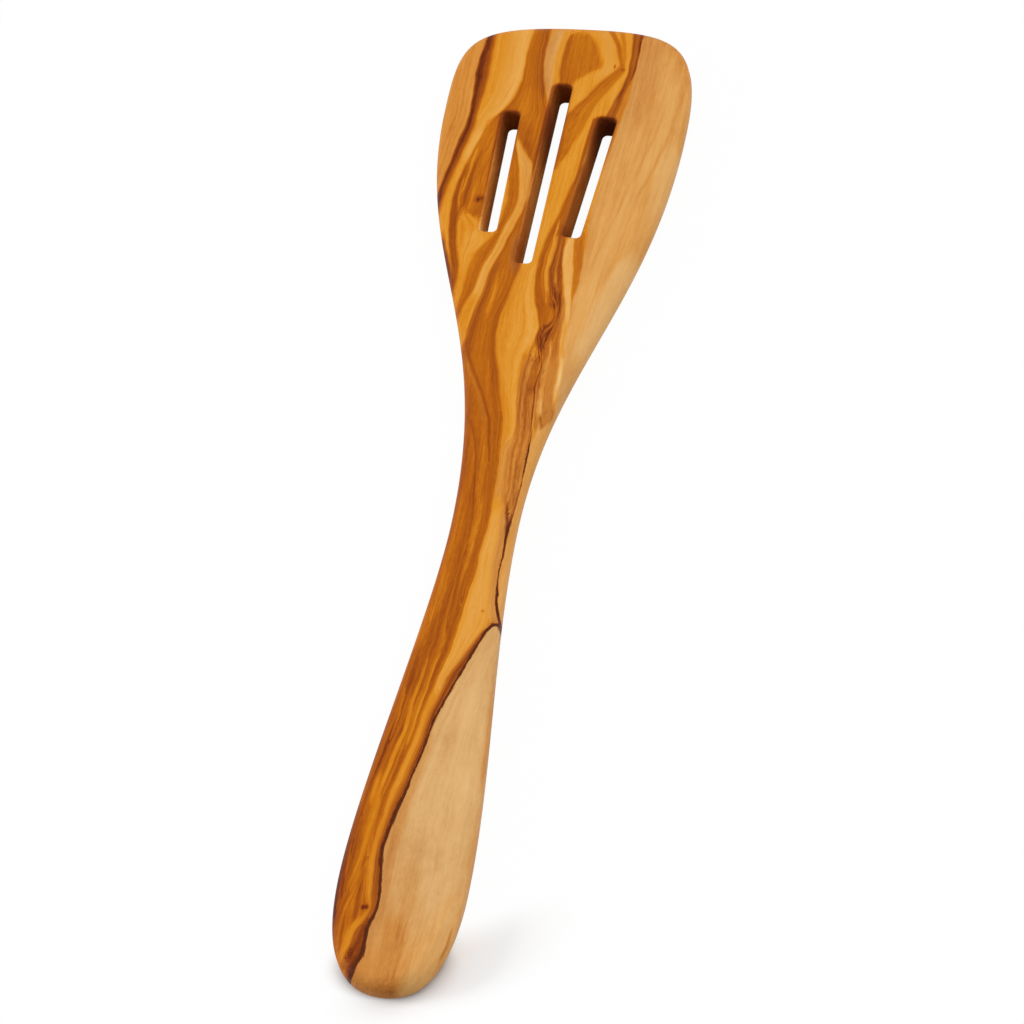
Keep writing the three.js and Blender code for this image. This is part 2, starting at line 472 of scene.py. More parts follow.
# %% Bands of the blade
BLADE_BANDS = [
    band("tan strip beside the tip's left edge", 0.4, 0.28, 0.9, [
        (152, -OUT, -24.6), (143, -OUT, -25.2), (132, -OUT, -25.6), (120, -OUT, -25.2),
        (110, -OUT, -26.7), (100, -OUT, -27.8), (86, -OUT, -29.2)]),
    band("pale half of the gold beside the tawny band", (0.33, 0.2), 0.1, (3, 0.9), [
        (152, -19, -13), (140, -19, -13.5), (132, -18.8, -13.4), (126, -19.5, -14.4), (121, -20.8, -16.6),
        (116, -22.6, -19.3), (110, -24.6, -21.7), (104, -25.6, -23.2)]),
    band("tawny band from the tip down past the slots", 0.58, 0, 0.9, [
        (152, -12.6, -8), (145, -12.8, -8.2), (140, -13.3, -8.3), (135, -13.3, -7.8), (130, -13.2, -6.8),
        (127, -13.6, -5.8), (124, -14.6, -4.6), (121, -16.4, -3), (118, -18.8, -2.5), (114, -20.4, -2.5),
        (110, -21.6, -2.5), (105, -22.8, -3), (100, -23.8, -3.5), (95, -24.2, -3.6), (90, -24.4, -3.6),
        (85, -24.6, -3.6)]),
    tint("lighter foot of the tawny band", 0.52, 0, 3, [
        (128, -11, -7.5), (122, -12, -6.5), (116, -9.6, -5.5)]),
    band("darker right margin of the tawny band", 0.66, 0.05, 1.3, [
        (152, -9.8, -7.8), (145, -9.9, -8.2), (138, -9.6, -8), (131, -8.6, -7), (126, -7.2, -5.6)]),
    band("tan ring left of the eye", (0.46, 0.34), 0.5, (0.7, 1.4), [
        (149, -6.4, -4), (145, -7.8, -3.4), (142, -8.2, -3.6), (138, -8.1, -4.2), (134, -7.6, -4.6),
        (130, -6.7, -4.5), (127.5, -5.8, -4.6), (124, -4.8, -4.4)]),
    band("golden ring left of the eye", 0.33, 0.05, 1.2, [
        (149, -3.6, -2.4), (144, -4.9, -3), (140, -5.4, -3.4), (135, -5.3, -3.3), (131, -4.8, -2.7)]),
    tint("eye of the bough", 0.55, 0, (1, 2), [
        (147.9, 0.4, 1.6), (146.8, -1.8, 3.2), (145, -2.7, 4.6), (143, -3.2, 5.8), (140, -3.5, 7.2),
        (137.5, -3.5, 8), (135.8, -3.5, 7.6), (134.6, -3.4, 5.5), (133, -3.2, 3.6), (131.5, -2.9, 1.9),
        (129, -2.6, 0.2)]),
    band("pale ring right of the eye", 0.3, 0.12, 2, [
        (149, 4.5, 7.5), (146.5, 6, 9), (144, 7.6, 10.1), (141, 8.4, 10.9), (138.5, 9.2, 11.5),
        (136.5, 9.2, 12), (134.8, 8, 11.6), (133.2, 6.4, 9.8)]),
    band("brown arc round the eye", 0.58, 0, 1.1, [
        (152, 6.6, 8.6), (147.5, 8.5, 9.9), (145, 10.1, 11.4), (142, 11.4, 12.7), (139, 12.4, 13.5),
        (136.5, 13.1, 14.5), (135, 12.6, 14.5)]),
    band("orange arc beside the brown one", 0.5, 0, 0.9, [
        (150, 10.6, 11.6), (146, 11.9, 12.9), (143, 12.8, 13.6), (140, 13.5, 14.1), (137, 13.9, 14.5)]),
    band("lower arm of the brown arc", (0.6, 0.56), 0, 1.4, [
        (136.6, 13, 14.4), (135, 11.8, 14.4), (133, 9.8, 13.6), (131.5, 8.4, 12.7), (130, 7.4, 11.8),
        (128, 6.3, 10.6), (126, 5.2, 9.5), (124, 3.6, 8.7), (122, 2.3, 8), (120, 1.4, 7.4),
        (117, 0.8, 6.8), (114, 0.5, 6), (111, 0.5, 5), (108, 0.5, 3.8), (105, 0.5, 2.6),
        (102, 0.5, 1.4)], 2),
    band("brown between the double lines", 0.64, 0.1, 0.9, [
        (152, 14.8, 18), (146, 15.2, 17.8), (143, 15.5, 17.9), (140, 15.7, 17.8), (137, 15.8, 17.7),
        (134, 15.8, 17.7), (132, 15.2, 17.4), (130, 14.7, 16.6), (128, 14, 16.1), (126, 13.4, 15.7),
        (124, 12.9, 15.3), (122, 12.4, 15), (118, 11.4, 14.7)]),
    band("left one of the double lines", 0.78, 0, 0.7, [
        (152, 14.9, 15.6), (146, 15.3, 15.9), (143, 15.6, 16.1), (140, 15.7, 16.1), (137, 15.7, 16.2),
        (134, 15.8, 16.3), (132, 15.6, 16.1), (130, 15, 15.6), (126, 13.9, 14.5)]),
    band("right one of the double lines", 0.88, 0, 0.7, [
        (152, 16.8, 17.8), (146, 16.9, 17.8), (143, 17.1, 18), (140, 17.2, 17.8), (136, 17.1, 17.7),
        (133, 16.9, 17.4), (131, 16.4, 16.9), (128, 15.6, 16)]),
    band("orange streak beside the sapwood", 0.46, 0.1, (0.9, 1.2), [
        (133, 17.2, 17.8), (130, 16.2, 17.7), (127, 15.7, 17.5), (124, 15.2, 17), (121, 14.9, 16.6),
        (116, 14.8, 16.1), (110, 14.6, 15.5), (104, 14.2, 14.9)]),
]
print(f"the blade has {len(BLADE_BANDS)} bands")

# %% Bands of the shoulder
SHOULDER_BANDS = [
    tint("lighter mottled brown left of the slots", 0.53, 0, 2, [
        (117, -20, -16.8), (108, -21.6, -17), (98, -22.8, -17), (88, -23, -17)]),
    band("gold thread in the mottled brown", 0.42, 0, 0.7, [
        (108, -21.5, -20.9), (103, -22, -21.4), (98, -22.4, -21.9), (93, -22.9, -22.3)]),
    band("dark thread in the mottled brown", 0.66, 0, 1, [
        (107, -20.2, -19.6), (100, -21.4, -20.6), (95, -21.8, -20.8), (89, -21.8, -21)]),
    band("gold thread further left", 0.43, 0, 0.7, [
        (99, -23.4, -22.8), (94, -23.6, -23), (88, -23.2, -22.4)]),
    band("gold fleck left of the knot", 0.44, 0, 1.2, [
        (98, -19.6, -19), (94, -20, -18.9), (91, -20, -19), (87, -20.4, -19)]),
    band("gold fleck right of the knot", 0.46, 0, 0.9, [
        (97, -17.8, -17.2), (93.6, -17, -16.4), (90, -17, -16.5)]),
    band("gold below the left slot", 0.34, 0, 1.9, [
        (88, -21.8, -20.6), (86.4, -22, -19), (85, -22, -16.6), (83.4, -21.9, -14.4), (82, -21.8, -13),
        (80, -21.6, -11.6), (78, -21.2, -12.2), (76, -20.8, -14), (74, -20.5, -15.2), (72, -20, -16.2),
        (70, -19.6, -16.7), (66, -19.2, -17), (62, -19, -16.6), (58, -18.4, -16), (53, -17.4, -14.6)]),
    band("pale middle of that gold", 0.28, 0.05, 2, [
        (82, -19, -15), (78, -19.5, -14), (74, -19.3, -16.6), (69, -18.6, -17.6)]),
    band("dark line down the left shoulder", 0.65, 0, (0.9, 1.4), [
        (102, -23.7, -22.7), (97, -24.4, -23.3), (92, -24.8, -23.3), (85, -24.7, -22.5), (80, -24, -21.8),
        (75, -22.8, -20.8), (70, -21.4, -19.4), (66, -20.6, -19.1), (61, -19.4, -18.8)]),
    # Dark stripe wood and painted shade of the rounded left edge
    band("darkest part at the shoulder's edge", 0.84, 0, 1.2, [
        (80, -28, -25.2), (76, -27, -23.9), (71, -25, -22), (66, -22.8, -20.5), (61, -20.6, -19.4)]),
    band("brown band that loops under the left slot", 0.56, 0, 0.9, [
        (106, -11.8, -10.2), (103, -11.8, -9.5), (100, -11.6, -9), (97, -10.9, -8.2), (95, -10.2, -7.5),
        (92, -9.9, -7.2), (90, -9.8, -7.4), (87, -10.2, -8), (85, -10.6, -8.6), (83, -10.9, -9),
        (81, -11.3, -9.4), (79, -12.6, -9.9), (77, -14, -10.5), (75, -15.2, -11.2), (72, -16.2, -12.1),
        (70, -16.6, -12.8), (66, -16.9, -13.3), (62, -16.8, -13.8), (59, -16.9, -14.4),
        (56, -17.2, -15.4), (52, -17, -16.4)]),
    band("tan band between the left and middle slots", (0.24, 0.3), 0.15, (0.7, 1.1), [
        (112, -11, -10.5), (110, -10.7, -9.4), (108, -10.3, -8.4), (106.4, -9.9, -7.3),
        (104.6, -9.4, -5.9), (101.3, -8.6, -5.1), (97, -7.7, -4.8), (95, -7.3, -4.6), (92, -7, -4.7),
        (90, -7.2, -5), (87, -7.9, -5.6), (85, -8.5, -6.2), (82, -9.1, -7), (80, -9.7, -7.6),
        (77, -10.4, -8.3), (75, -11.2, -9), (72, -12.1, -10), (70, -12.7, -10.6), (66, -13.2, -11),
        (63, -13.7, -11.3), (60, -14.2, -11.9), (57, -15, -12.3), (54, -15.6, -12.6), (50, -15.6, -13.1),
        (45, -14.6, -13.2)]),
    tint("golden foot of the tan band", 0.38, 0, 1.6, [
        (61, -14.6, -12.2), (56, -15.8, -12.8), (50, -16, -13.4), (46, -15, -13.4)], 6),
    tint("greyer top of the tan band", 0.34, 0.3, 2, [
        (107, -9, -7.6), (103, -8, -5.8), (99, -7, -4.8), (95, -6.2, -4.5), (91, -6, -4.8)]),
    tint("dark notch above the tan band", 0.68, 0, 1.2, [
        (111, -8.6, -6.6), (108, -7.6, -6.2), (106, -6.6, -5.8)], 3),
    band("gold strip beside the left slot", 0.33, 0, 0.7, [
        (99, -11.8, -10.8), (95, -11.8, -10.2), (92, -11.8, -9.9), (88, -11.8, -10.2),
        (84, -11.8, -10.8)]),
    band("orange band between the middle and right slots", 0.55, 0, 0.8, [
        (105, 8.4, 9.6), (100, 7.2, 9.4), (96, 6.2, 8.8), (92, 5.3, 8.4), (88, 4.7, 8), (85, 4.1, 7.6),
        (82, 3.2, 6.4), (80, 2.8, 5.4), (77, 2.4, 4.8), (75, 2.2, 4.6), (72, 2.1, 4.5), (70, 2, 4.5),
        (66, 2, 4.9), (63, 2.4, 6.2), (60, 3.1, 8), (57, 4.3, 9.2), (55, 4.9, 9.4), (53, 5.6, 8.8),
        (50, 6.2, 8)]),
    band("red brown zone of the fissure", 0.61, 0.12, 1.1, [
        (86, 6.2, 8.6), (80, 6, 8.3), (77, 6, 8.4), (74, 5.7, 8.5), (70, 5.4, 9), (67, 5.8, 9.6),
        (65, 6.2, 10.1), (63, 6.6, 10.5), (61, 7.3, 10.9), (59, 8.2, 11.1), (57, 8.8, 11.1),
        (55, 9.2, 11), (53, 8.4, 10.8), (51, 6.5, 10.3), (49, 6, 9.4), (47, 6.4, 8.9), (43, 7.4, 9)]),
    band("gold thread left of the fissure", 0.35, 0.05, 0.6, [
        (86, 5.3, 5.8), (80, 4.9, 5.5), (75, 4.75, 5.25), (70, 4.7, 5.3), (66, 5, 5.5), (63, 5.5, 6),
        (59, 6.3, 6.8)]),
    band("left thread of the fissure", 0.72, 0.1, 0.8, [
        (84, 7, 7.3), (78, 6.9, 7.2), (73, 6.9, 7.3), (68, 6.8, 7.4), (64, 7, 7.5), (60, 7.8, 8.3)]),
    band("right thread of the fissure", 0.72, 0.1, 0.8, [
        (80, 8, 8.3), (74, 8.2, 8.5), (70, 8.7, 9.1), (66, 9.4, 9.9)]),
    tint("curl of the fissure", 0.77, 0.05, 1.3, [
        (63, 7.6, 8.2), (61, 8.4, 9.2), (59.5, 9.2, 10), (58, 9.7, 10.5), (56, 9.9, 10.6),
        (54.5, 9.6, 10.4), (53, 8.8, 9.8), (51.5, 7.4, 8.8), (50, 6.2, 7.6)], 2),
    tint("dark blotch below the fissure's bend", 0.79, 0.08, 2, [
        (56, 9, 10.6), (54, 8.4, 10.6), (52, 6.8, 10.2), (50, 5.8, 9.6), (48, 5.7, 9), (46, 6.4, 8.8),
        (44, 7.4, 8.8)]),
    tint("red brown inside the fissure's bend", 0.72, 0.03, 1.8, [
        (62, 7.4, 9.4), (59, 7.4, 10), (56, 7.6, 10), (53, 7.4, 9.6)], 3),
    band("orange band beside the sapwood", 0.53, 0.05, (0.9, 1.8), [
        (84, 11.4, 13.2), (80, 10.8, 13.6), (77, 11.1, 14), (74, 11.5, 14.5), (71.8, 11.9, 14.8),
        (69, 12.3, 14.7), (65, 12.7, 14.7), (62, 13.2, 14.8)], 8),
    tint("golden lower end of that orange band", 0.55, 0.03, (0.9, 1.6), [
        (65, 12.9, 15.2), (57, 13.5, 15.1), (50, 13.7, 14.8), (43, 14, 15)], 8),
    band("brown between fissure and pale strip", 0.52, 0.3, 1, [
        (62, 10.8, 11.6), (56, 10.9, 12.3), (52, 10.4, 12.4), (48, 9.4, 12.7), (44, 9, 13.1),
        (40, 9, 13.6), (36, 8.9, 13.9), (32, 8.8, 13.9), (29, 9, 14.6), (26, 9.4, 15.2), (23, 10, 15),
        (19, 11, 14)]),
    band("pale strip right of the fissure", 0.18, 0.2, 0.7, [
        (83, 9.4, 10.2), (80, 8.9, 10.6), (77, 8.5, 11), (74, 8.5, 11.3), (70, 9.3, 12), (66, 10.4, 12.4),
        (63, 11, 12.8), (60, 11.8, 13.2), (56, 12.3, 13.5), (52, 12.4, 13.6), (48, 12.7, 13.7),
        (44, 13.1, 14), (41, 13.6, 14.7), (38, 13.9, 15), (35, 14, 15.2), (32, 14, 15), (29, 14, 14.4)]),
    tint("golden stretch of the pale strip", 0.34, 0.12, 1.2, [
        (54, 12.2, 13.8), (50, 12.5, 14), (46, 12.8, 14.2), (43, 13.1, 14.6)], 5),
    band("brightest part of the pale strip", 0.04, 0.3, 0.8, [
        (41, 13.7, 14.6), (38, 13.9, 15), (35, 14, 15.1), (32, 14.1, 14.8)]),
    tint("darker brown right of the bend", 0.62, 0.1, 1.8, [
        (54, 9.6, 11.6), (50, 9.2, 11.9), (46, 9.2, 12), (41, 9.4, 11.6)], 6),
]
print(f"the shoulder has {len(SHOULDER_BANDS)} bands")

# %% Bands of the neck
HEART_BANDS = [
    band("brown heart of the shoulder, neck and handle", 0.585, 0, 0.9, [
        (93, -5, -3), (88, -5.4, -3), (85, -6.2, -2.8), (82, -6.9, -2.7), (80, -7.5, -2.6),
        (77, -8.2, -2.5), (75, -8.9, -2.4), (72, -9.9, -2.3), (70, -10.5, -2.3), (66, -10.8, -2.5),
        (63, -11.1, -3), (60, -11.7, -3.6), (57, -12.2, -4.7), (55, -12.5, -5.1), (52, -12.9, -5.1),
        (50, -13, -4.9), (47, -13.4, -4.7), (45, -13.8, -4.3), (42, -14.6, -3.7), (40, -15.2, -3),
        (37, -15.8, -2.2), (35, -16.1, -1.7), (32, -16.5, -1.1), (30, -16.7, -0.6), (27, -16.9, 0.4),
        (24, -17, 1.3), (20, -17, 2), (15, -17, 2.7), (10, -17, 3.2), (5, -17, 3.5), (0, -17, 3.6),
        (-5, -17, 3.7), (-10, -17, 3.7), (-15, -17, 3.5), (-20, -17, 3.1), (-25, -17.2, 3.3),
        (-30, -17.4, 2.7), (-35, -17.6, 2), (-40, -17.8, 1.6), (-45, -18, 1.2), (-50, -18.4, 0.6),
        (-55, -18.8, -0.2), (-60, -19.2, -1), (-65, -19.6, -1.9), (-70, -20, -2.7), (-75, -20.4, -3.6),
        (-80, -20.8, -4.4), (-85, -21.2, -5.4), (-90, -21.6, -6.3), (-95, -22, -7), (-100, -22.4, -7.5),
        (-110, -23, -7), (-120, -23, -5.5), (-135, -23, -5), (-155, -23, -5)]),
    tint("lighter middle of the brown heart", 0.555, 0, 3, [
        (70, -7.5, -5), (62, -9.6, -6.4), (55, -10.6, -7.4), (48, -11, -7.2), (42, -10.6, -6),
        (35, -9, -4.2), (28, -7.4, -2.4), (20, -6.6, -2.2), (10, -6, -3)], 16),
]
NECK_BANDS = [
    band("golden tongue", (0.42, 0.25), 0.03, (1.2, 1), [
        (71, -2.4, 1.9), (67, -3.3, 2), (64, -3.7, 2.2), (60, -4.2, 3), (55, -5, 5), (50, -4.9, 5.8),
        (47, -4.7, 5.2), (42, -3.7, 4.2), (38, -2.4, 3.5), (34, -1.4, 3.2), (30, -0.5, 3.8),
        (26, 0.8, 4.7), (22, 1.8, 5.1), (16, 2.6, 5.3), (10, 3.2, 5.3)]),
    band("duller gold of the neck", 0.42, 0.3, 1.4, [
        (16, 3.2, 5.6), (10, 3.4, 5.6), (4, 3.7, 5.8), (-2, 3.9, 6)]),
    band("red left margin of the brown heart", 0.67, 0.05, 1.6, [
        (72, -9.6, -8.4), (66, -10.8, -9.2), (62, -11.2, -9.6), (58, -12, -10), (54, -12.5, -10.3),
        (50, -13, -10.8), (46, -13.4, -11), (41, -13.4, -11)]),
    band("dark right margin of the brown heart", 0.64, 0, 1, [
        (61, -4.6, -3.8), (57, -5.8, -4.9), (53, -6, -5.1), (49, -5.9, -4.9), (45, -5.2, -4.3),
        (42, -4.8, -3.8), (39, -3.8, -2.9), (36, -2.9, -2), (33, -2.2, -1.3), (30, -1.6, -0.6),
        (26, -0.4, 0.5)]),
    # Greyer wood and painted shade round the middle slot's foot
    band("greyer wood and painted shade round the middle slot's foot", 0.62, 0.4, 2.2, [
        (80, -6, -3), (76, -5.8, -3), (72, -5.6, -3), (69, -5, -3.4)]),
    band("gold thread in the brown heart", 0.44, 0, 1.1, [
        (67, -8.6, -7.9), (63, -8.7, -7.5), (60, -8.9, -7.7), (57, -9.1, -8), (53, -9.3, -8.8)]),
    band("tan streak that crosses the shoulder", 0.5, 0.2, 1, [
        (42, -11.8, -11.2), (38, -10.8, -10.2), (34, -9, -8.3), (30, -7.2, -6.5), (26, -5.6, -4.9),
        (22, -4, -3.4)]),
    band("dark thread that crosses to the neck's middle", 0.7, 0, 0.8, [
        (46, -13, -12.2), (41, -11.3, -10.5), (38, -10, -9.1), (35, -8.4, -7.6), (32, -6.9, -6.1),
        (29, -5.4, -4.7), (26, -4.2, -3.5), (23, -2.9, -2.2), (20, -2, -1.3), (16, -1.2, -0.5),
        (12, -0.3, 0.3), (8, 0.4, 0.9)]),
    band("dark thread down the neck's left", 0.7, 0, 0.8, [
        (23, -8.2, -7.2), (19, -6.2, -5.4), (16, -5, -4.3), (13, -4.2, -3.5), (10, -3.5, -2.9),
        (6, -2.8, -2.2), (2, -2.3, -1.7), (-2, -1.9, -1.3), (-6, -1.4, -0.9), (-10, -1.1, -0.6),
        (-15, -0.9, -0.4), (-22, -0.9, -0.4)], 16),
    band("its lower end", 0.64, 0, 1, [(-20, -1.1, -0.4), (-30, -1.4, -0.8), (-40, -1.8, -1.2)], 14),
    tint("lighter wood at the neck's foot", 0.5, 0.03, 1.6, [
        (-26, -5.8, -3.8), (-33, -5.8, -3.8), (-40, -6.2, -4.4)], 8),
    tint("browner left side of the tan wood", 0.48, 0.04, 1.4, [
        (44, 3.4, 5), (39, 3.2, 5), (33, 3.2, 4.8)], 6),
    tint("gold right of that thread", 0.47, 0.02, 1.4, [
        (-2, 0.4, 1.7), (-8, 0, 1.4), (-14, -0.3, 1.2), (-20, -0.3, 1.1), (-25, -0.5, 0.8)], 8),
    band("dark thread beside the gold", 0.66, 0, 0.7, [
        (25, 0.1, 0.8), (20, 0.8, 1.4), (16, 1.3, 1.9), (12, 1.8, 2.3), (8, 2.3, 2.8), (3, 2.9, 3.3)]),
    band("dark thread through the lower neck", 0.66, 0, 0.8, [
        (7, 0.2, 0.8), (2, 0.8, 1.4), (-3, 1.3, 1.9), (-8, 1.7, 2.2), (-14, 1.9, 2.6), (-20, 1.4, 2.2),
        (-26, 0.9, 1.6), (-34, 0.6, 1.2)]),
    band("paler gold of the lower neck", 0.27, 0.12, 1.6, [
        (-6, 4, 6), (-12, 3.9, 6.6), (-20, 3.5, 6.8), (-28, 3.6, 7.4), (-34, 3.2, 8.2), (-40, 2.8, 8.2),
        (-46, 2.2, 6.4), (-52, 1, 4.2), (-58, -0.4, 1.8), (-64, -1.6, 0.2)]),
    band("tan wood beside the fissure", 0.5, 0.28, 1.1, [
        (42, 4.8, 6.2), (38, 4, 8), (34, 3.8, 8.2), (30, 4, 8.8), (26, 4.6, 9.3), (22, 5.2, 9.8),
        (18, 5.3, 10.2), (12, 5.3, 10.2), (6, 5.5, 10.2), (0, 5.8, 10), (-5, 6.3, 9.8)]),
    band("lighter tan beside the lower dark line", 0.42, 0.4, 1.2, [
        (-6, 6.3, 9.7), (-10, 6.6, 9.4), (-16, 6.9, 9.3), (-22, 7, 9.2), (-28, 7.7, 9.7),
        (-33, 8.5, 10.3), (-37, 9, 11.2), (-41, 9.6, 12.5)]),
    band("first brown fibre of the tan wood", 0.67, 0.2, 0.8, [
        (46, 5.2, 5.6), (40, 5, 5.4), (34, 4.4, 4.8), (28, 5, 5.4), (20, 5.8, 6.2), (10, 6.2, 6.6),
        (2, 6.6, 7)]),
    band("second brown fibre of the tan wood", 0.67, 0.2, 0.8, [
        (42, 7, 7.4), (36, 6.4, 6.8), (30, 6.6, 7), (24, 7.2, 7.6), (16, 7.8, 8.2), (8, 8, 8.4),
        (0, 8.1, 8.5)]),
    band("tan fibre between them", 0.42, 0.25, 0.8, [
        (44, 5.9, 6.5), (38, 5.7, 6.3), (32, 5.4, 6), (26, 6, 6.5), (18, 6.7, 7.2), (8, 7.1, 7.6)]),
    tint("brown along the fissure's lower run", 0.62, 0.12, 1.6, [
        (43, 7, 8.8), (39, 6.9, 8.7), (35, 6.6, 8.5), (30, 6.6, 8.4)], 6),
    band("pale streak above the bend", 0.26, 0.4, 0.6, [
        (47, 10, 10.5), (43, 10.2, 10.7), (38, 9.9, 10.4)]),
    band("upper pale sliver right of the fissure", 0.2, 0.5, 0.6, [
        (31, 9.8, 10.3), (27, 10.5, 11.1), (24, 11.1, 11.6), (22, 11.6, 11.9)]),
    band("dark stroke below the upper sliver", 0.8, 0.2, 0.6, [
        (24.5, 10.9, 11.4), (23, 11.4, 11.9), (21.4, 12, 12.5)], 2),
    band("lower pale sliver right of the fissure", 0.14, 0.4, 0.6, [
        (21, 11.6, 12), (18, 11.1, 11.8), (15, 10.6, 11.1), (12, 10.3, 10.6)]),
    band("left arm of the grey blotch on the dark line", 0.86, 0.5, 0.7, [
        (-3.5, 7.4, 7.8), (-6, 7.7, 8.3), (-8.5, 8, 9), (-11, 8.3, 9.3), (-13.5, 8.7, 9.4)], 2),
    band("right arm of the grey blotch", 0.78, 0.4, 0.6, [
        (1, 9.8, 10.1), (-3, 9.6, 9.9), (-7, 9.2, 9.6), (-11, 8.9, 9.4)], 3),
]
print(f"the heart has {len(HEART_BANDS)} bands and the neck {len(NECK_BANDS)}")

# %% Bands of the handle
HANDLE_BANDS = [
    band("first gold thread of the handle", 0.36, 0, 0.6, [
        (-50, -2, -1.5), (-56, -2.9, -2.3), (-60, -3.3, -2.8), (-66, -4.2, -3.6), (-72, -4.9, -4.4),
        (-79, -5.7, -5.3)]),
    band("second gold thread of the handle", 0.41, 0, 0.8, [
        (-53, -4.9, -4.4), (-60, -5.9, -5), (-66, -6.6, -5.7), (-70, -6.9, -5.8), (-75, -7.4, -6.2),
        (-80, -8.3, -7.1), (-85, -9.1, -7.9), (-90, -9.8, -8.7), (-95, -10.5, -9.6), (-100, -11.2, -10.4),
        (-106, -11.8, -11.1)]),
    band("third gold thread of the handle", 0.49, 0, 0.8, [
        (-93, -9.7, -9.2), (-97, -10.4, -9), (-102, -11, -9.6), (-108, -11.5, -10), (-113, -11.8, -10.7),
        (-118, -12.3, -11.4), (-122, -13, -12.2), (-126.5, -13.7, -13), (-131, -14.2, -13.7)]),
    band("fourth gold thread of the handle", 0.5, 0, 0.7, [
        (-114, -9.3, -8.9), (-117, -9.8, -9.2), (-120.5, -10.4, -9.7), (-124.5, -11.5, -10.7),
        (-128.7, -12.7, -11.9), (-133, -12.8, -12.1), (-138, -12.7, -12.2)]),
    band("short gold thread between them", 0.44, 0, 0.6, [
        (-60, -4.6, -4.2), (-68, -5.4, -4.9), (-76, -6.2, -5.8), (-84, -7.2, -6.8), (-92, -8.4, -8)]),
    band("thin gold thread by the left edge", 0.45, 0, 0.5, [
        (-63, -9, -8.7), (-70, -9.5, -9.1), (-77, -10, -9.7)]),
    band("lower thin gold thread by the left edge", 0.48, 0, 0.5, [
        (-102, -13.2, -12.9), (-110, -13.4, -12.9), (-116, -13.4, -13), (-123, -13.2, -12.9)]),
    band("golden band along the dark line", 0.4, 0.03, 1, [
        (-62, -1.4, 0.6), (-66, -2.3, -0.6), (-70, -2.9, -1.2), (-75, -3.6, -1.6), (-80, -4.4, -2.4),
        (-85, -5.4, -3.2), (-90, -6.3, -4.2), (-95, -7, -5.1), (-100, -7.5, -5.8), (-105, -8.2, -6.3),
        (-110, -8.5, -6.8), (-115, -8.6, -7), (-118, -8.3, -6.6), (-121, -7.8, -6), (-124, -7.3, -5.3),
        (-126, -6.4, -5), (-128, -6.2, -4.9), (-130, -7.2, -5.4), (-132, -8.7, -6.7), (-134, -9.8, -8.1),
        (-137, -10.3, -8.6), (-140, -10.9, -9.3), (-143, -11.2, -9.7), (-147, -10.6, -10)]),
    tint("dark left edge of the handle", 0.71, 0, 1.8, [
        (-48, -OUT, -7), (-60, -OUT, -7.3), (-70, -OUT, -8), (-80, -OUT, -9), (-90, -OUT, -9.9),
        (-100, -OUT, -11.1), (-112, -OUT, -11.9), (-125, -OUT, -12.4), (-137, -OUT, -12.4)]),
    tint("darkest part of the left edge", 0.85, 0, 1.6, [
        (-96, -OUT, -14.2), (-104, -OUT, -14), (-112, -OUT, -14), (-122, -OUT, -14), (-132, -OUT, -14)]),
    tint("brown wood round the knot", 0.64, 0, 1.8, [
        (-114, -10.8, -9.6), (-118, -10.4, -8.6), (-122, -10.4, -8), (-126, -10.8, -6.8),
        (-129, -11.4, -6.8), (-132, -12, -9.8), (-136, -12.6, -11.2)], 5),
    tint("grey brown blot at the top of the handle's line", 0.58, 0.45, 2, [
        (-39, 10.2, 11.4), (-42, 8.8, 10), (-46, 6.8, 8.4), (-51, 4.4, 6.6), (-57, 2.2, 4.8)]),
    band("brown halo left of the dark line", 0.74, 0.1, (1.8, 0.8), [
        (-42, 9, 10.6), (-46, 7, 8.6), (-50, 5.2, 7.4), (-54, 3.2, 6), (-58, 1.8, 4.6), (-62, 0.9, 3.2),
        (-66, -0.3, 2), (-70, -1.1, 0.8), (-76, -1.9, -0.1), (-82, -2.8, -0.9), (-88, -3.8, -2.2),
        (-94, -5, -3.1), (-100, -6.2, -4.4), (-106, -7, -5.3), (-112, -7.2, -5.4), (-118, -6.6, -4.6),
        (-124, -5.8, -3.9), (-128, -5.4, -3.9), (-131, -6.4, -4.7), (-134, -7.8, -5.2),
        (-138, -8.6, -5.1), (-142, -9.2, -5.3), (-149, -8.9, -6.8)]),
    band("darkest part of the halo near the end", 0.84, 0.08, 1.4, [
        (-132, -6.2, -5), (-136, -7, -5), (-140, -7.9, -5), (-144, -9.4, -5.8), (-150, -10, -6.8)]),
    # Dark wood and painted shade on the handle's rounded end, left of the line
    tint("darkest wood left of the line's end", 0.9, 0.05, 1.2, [
        (-140, -9.2, -7.4), (-144, -9.8, -7), (-152, -10.4, -7)], 4),
    tint("gold flame below the knot", 0.37, 0.02, 1.4, [
        (-131, -8.6, -7.2), (-134.4, -10, -8.7), (-138, -10.6, -9.3), (-142, -10.9, -9.8)], 3),
    tint("brighter part of the second gold thread", 0.41, 0, 1, [
        (-88, -10.9, -10), (-92, -11.4, -10.5), (-96, -11.8, -11)], 5),
    tint("deeper orange left of the second gold thread", 0.62, 0, 1.4, [
        (-62, -9.2, -7.4), (-67, -9.2, -7.5), (-72, -9.6, -8.2)], 6),
    tint("browner end of the golden band", 0.52, 0, 2, [
        (-143, -11.6, -8.6), (-147, -11.4, -8.4), (-151, -11, -8)], 6),
]
print(f"the handle has {len(HANDLE_BANDS)} bands")

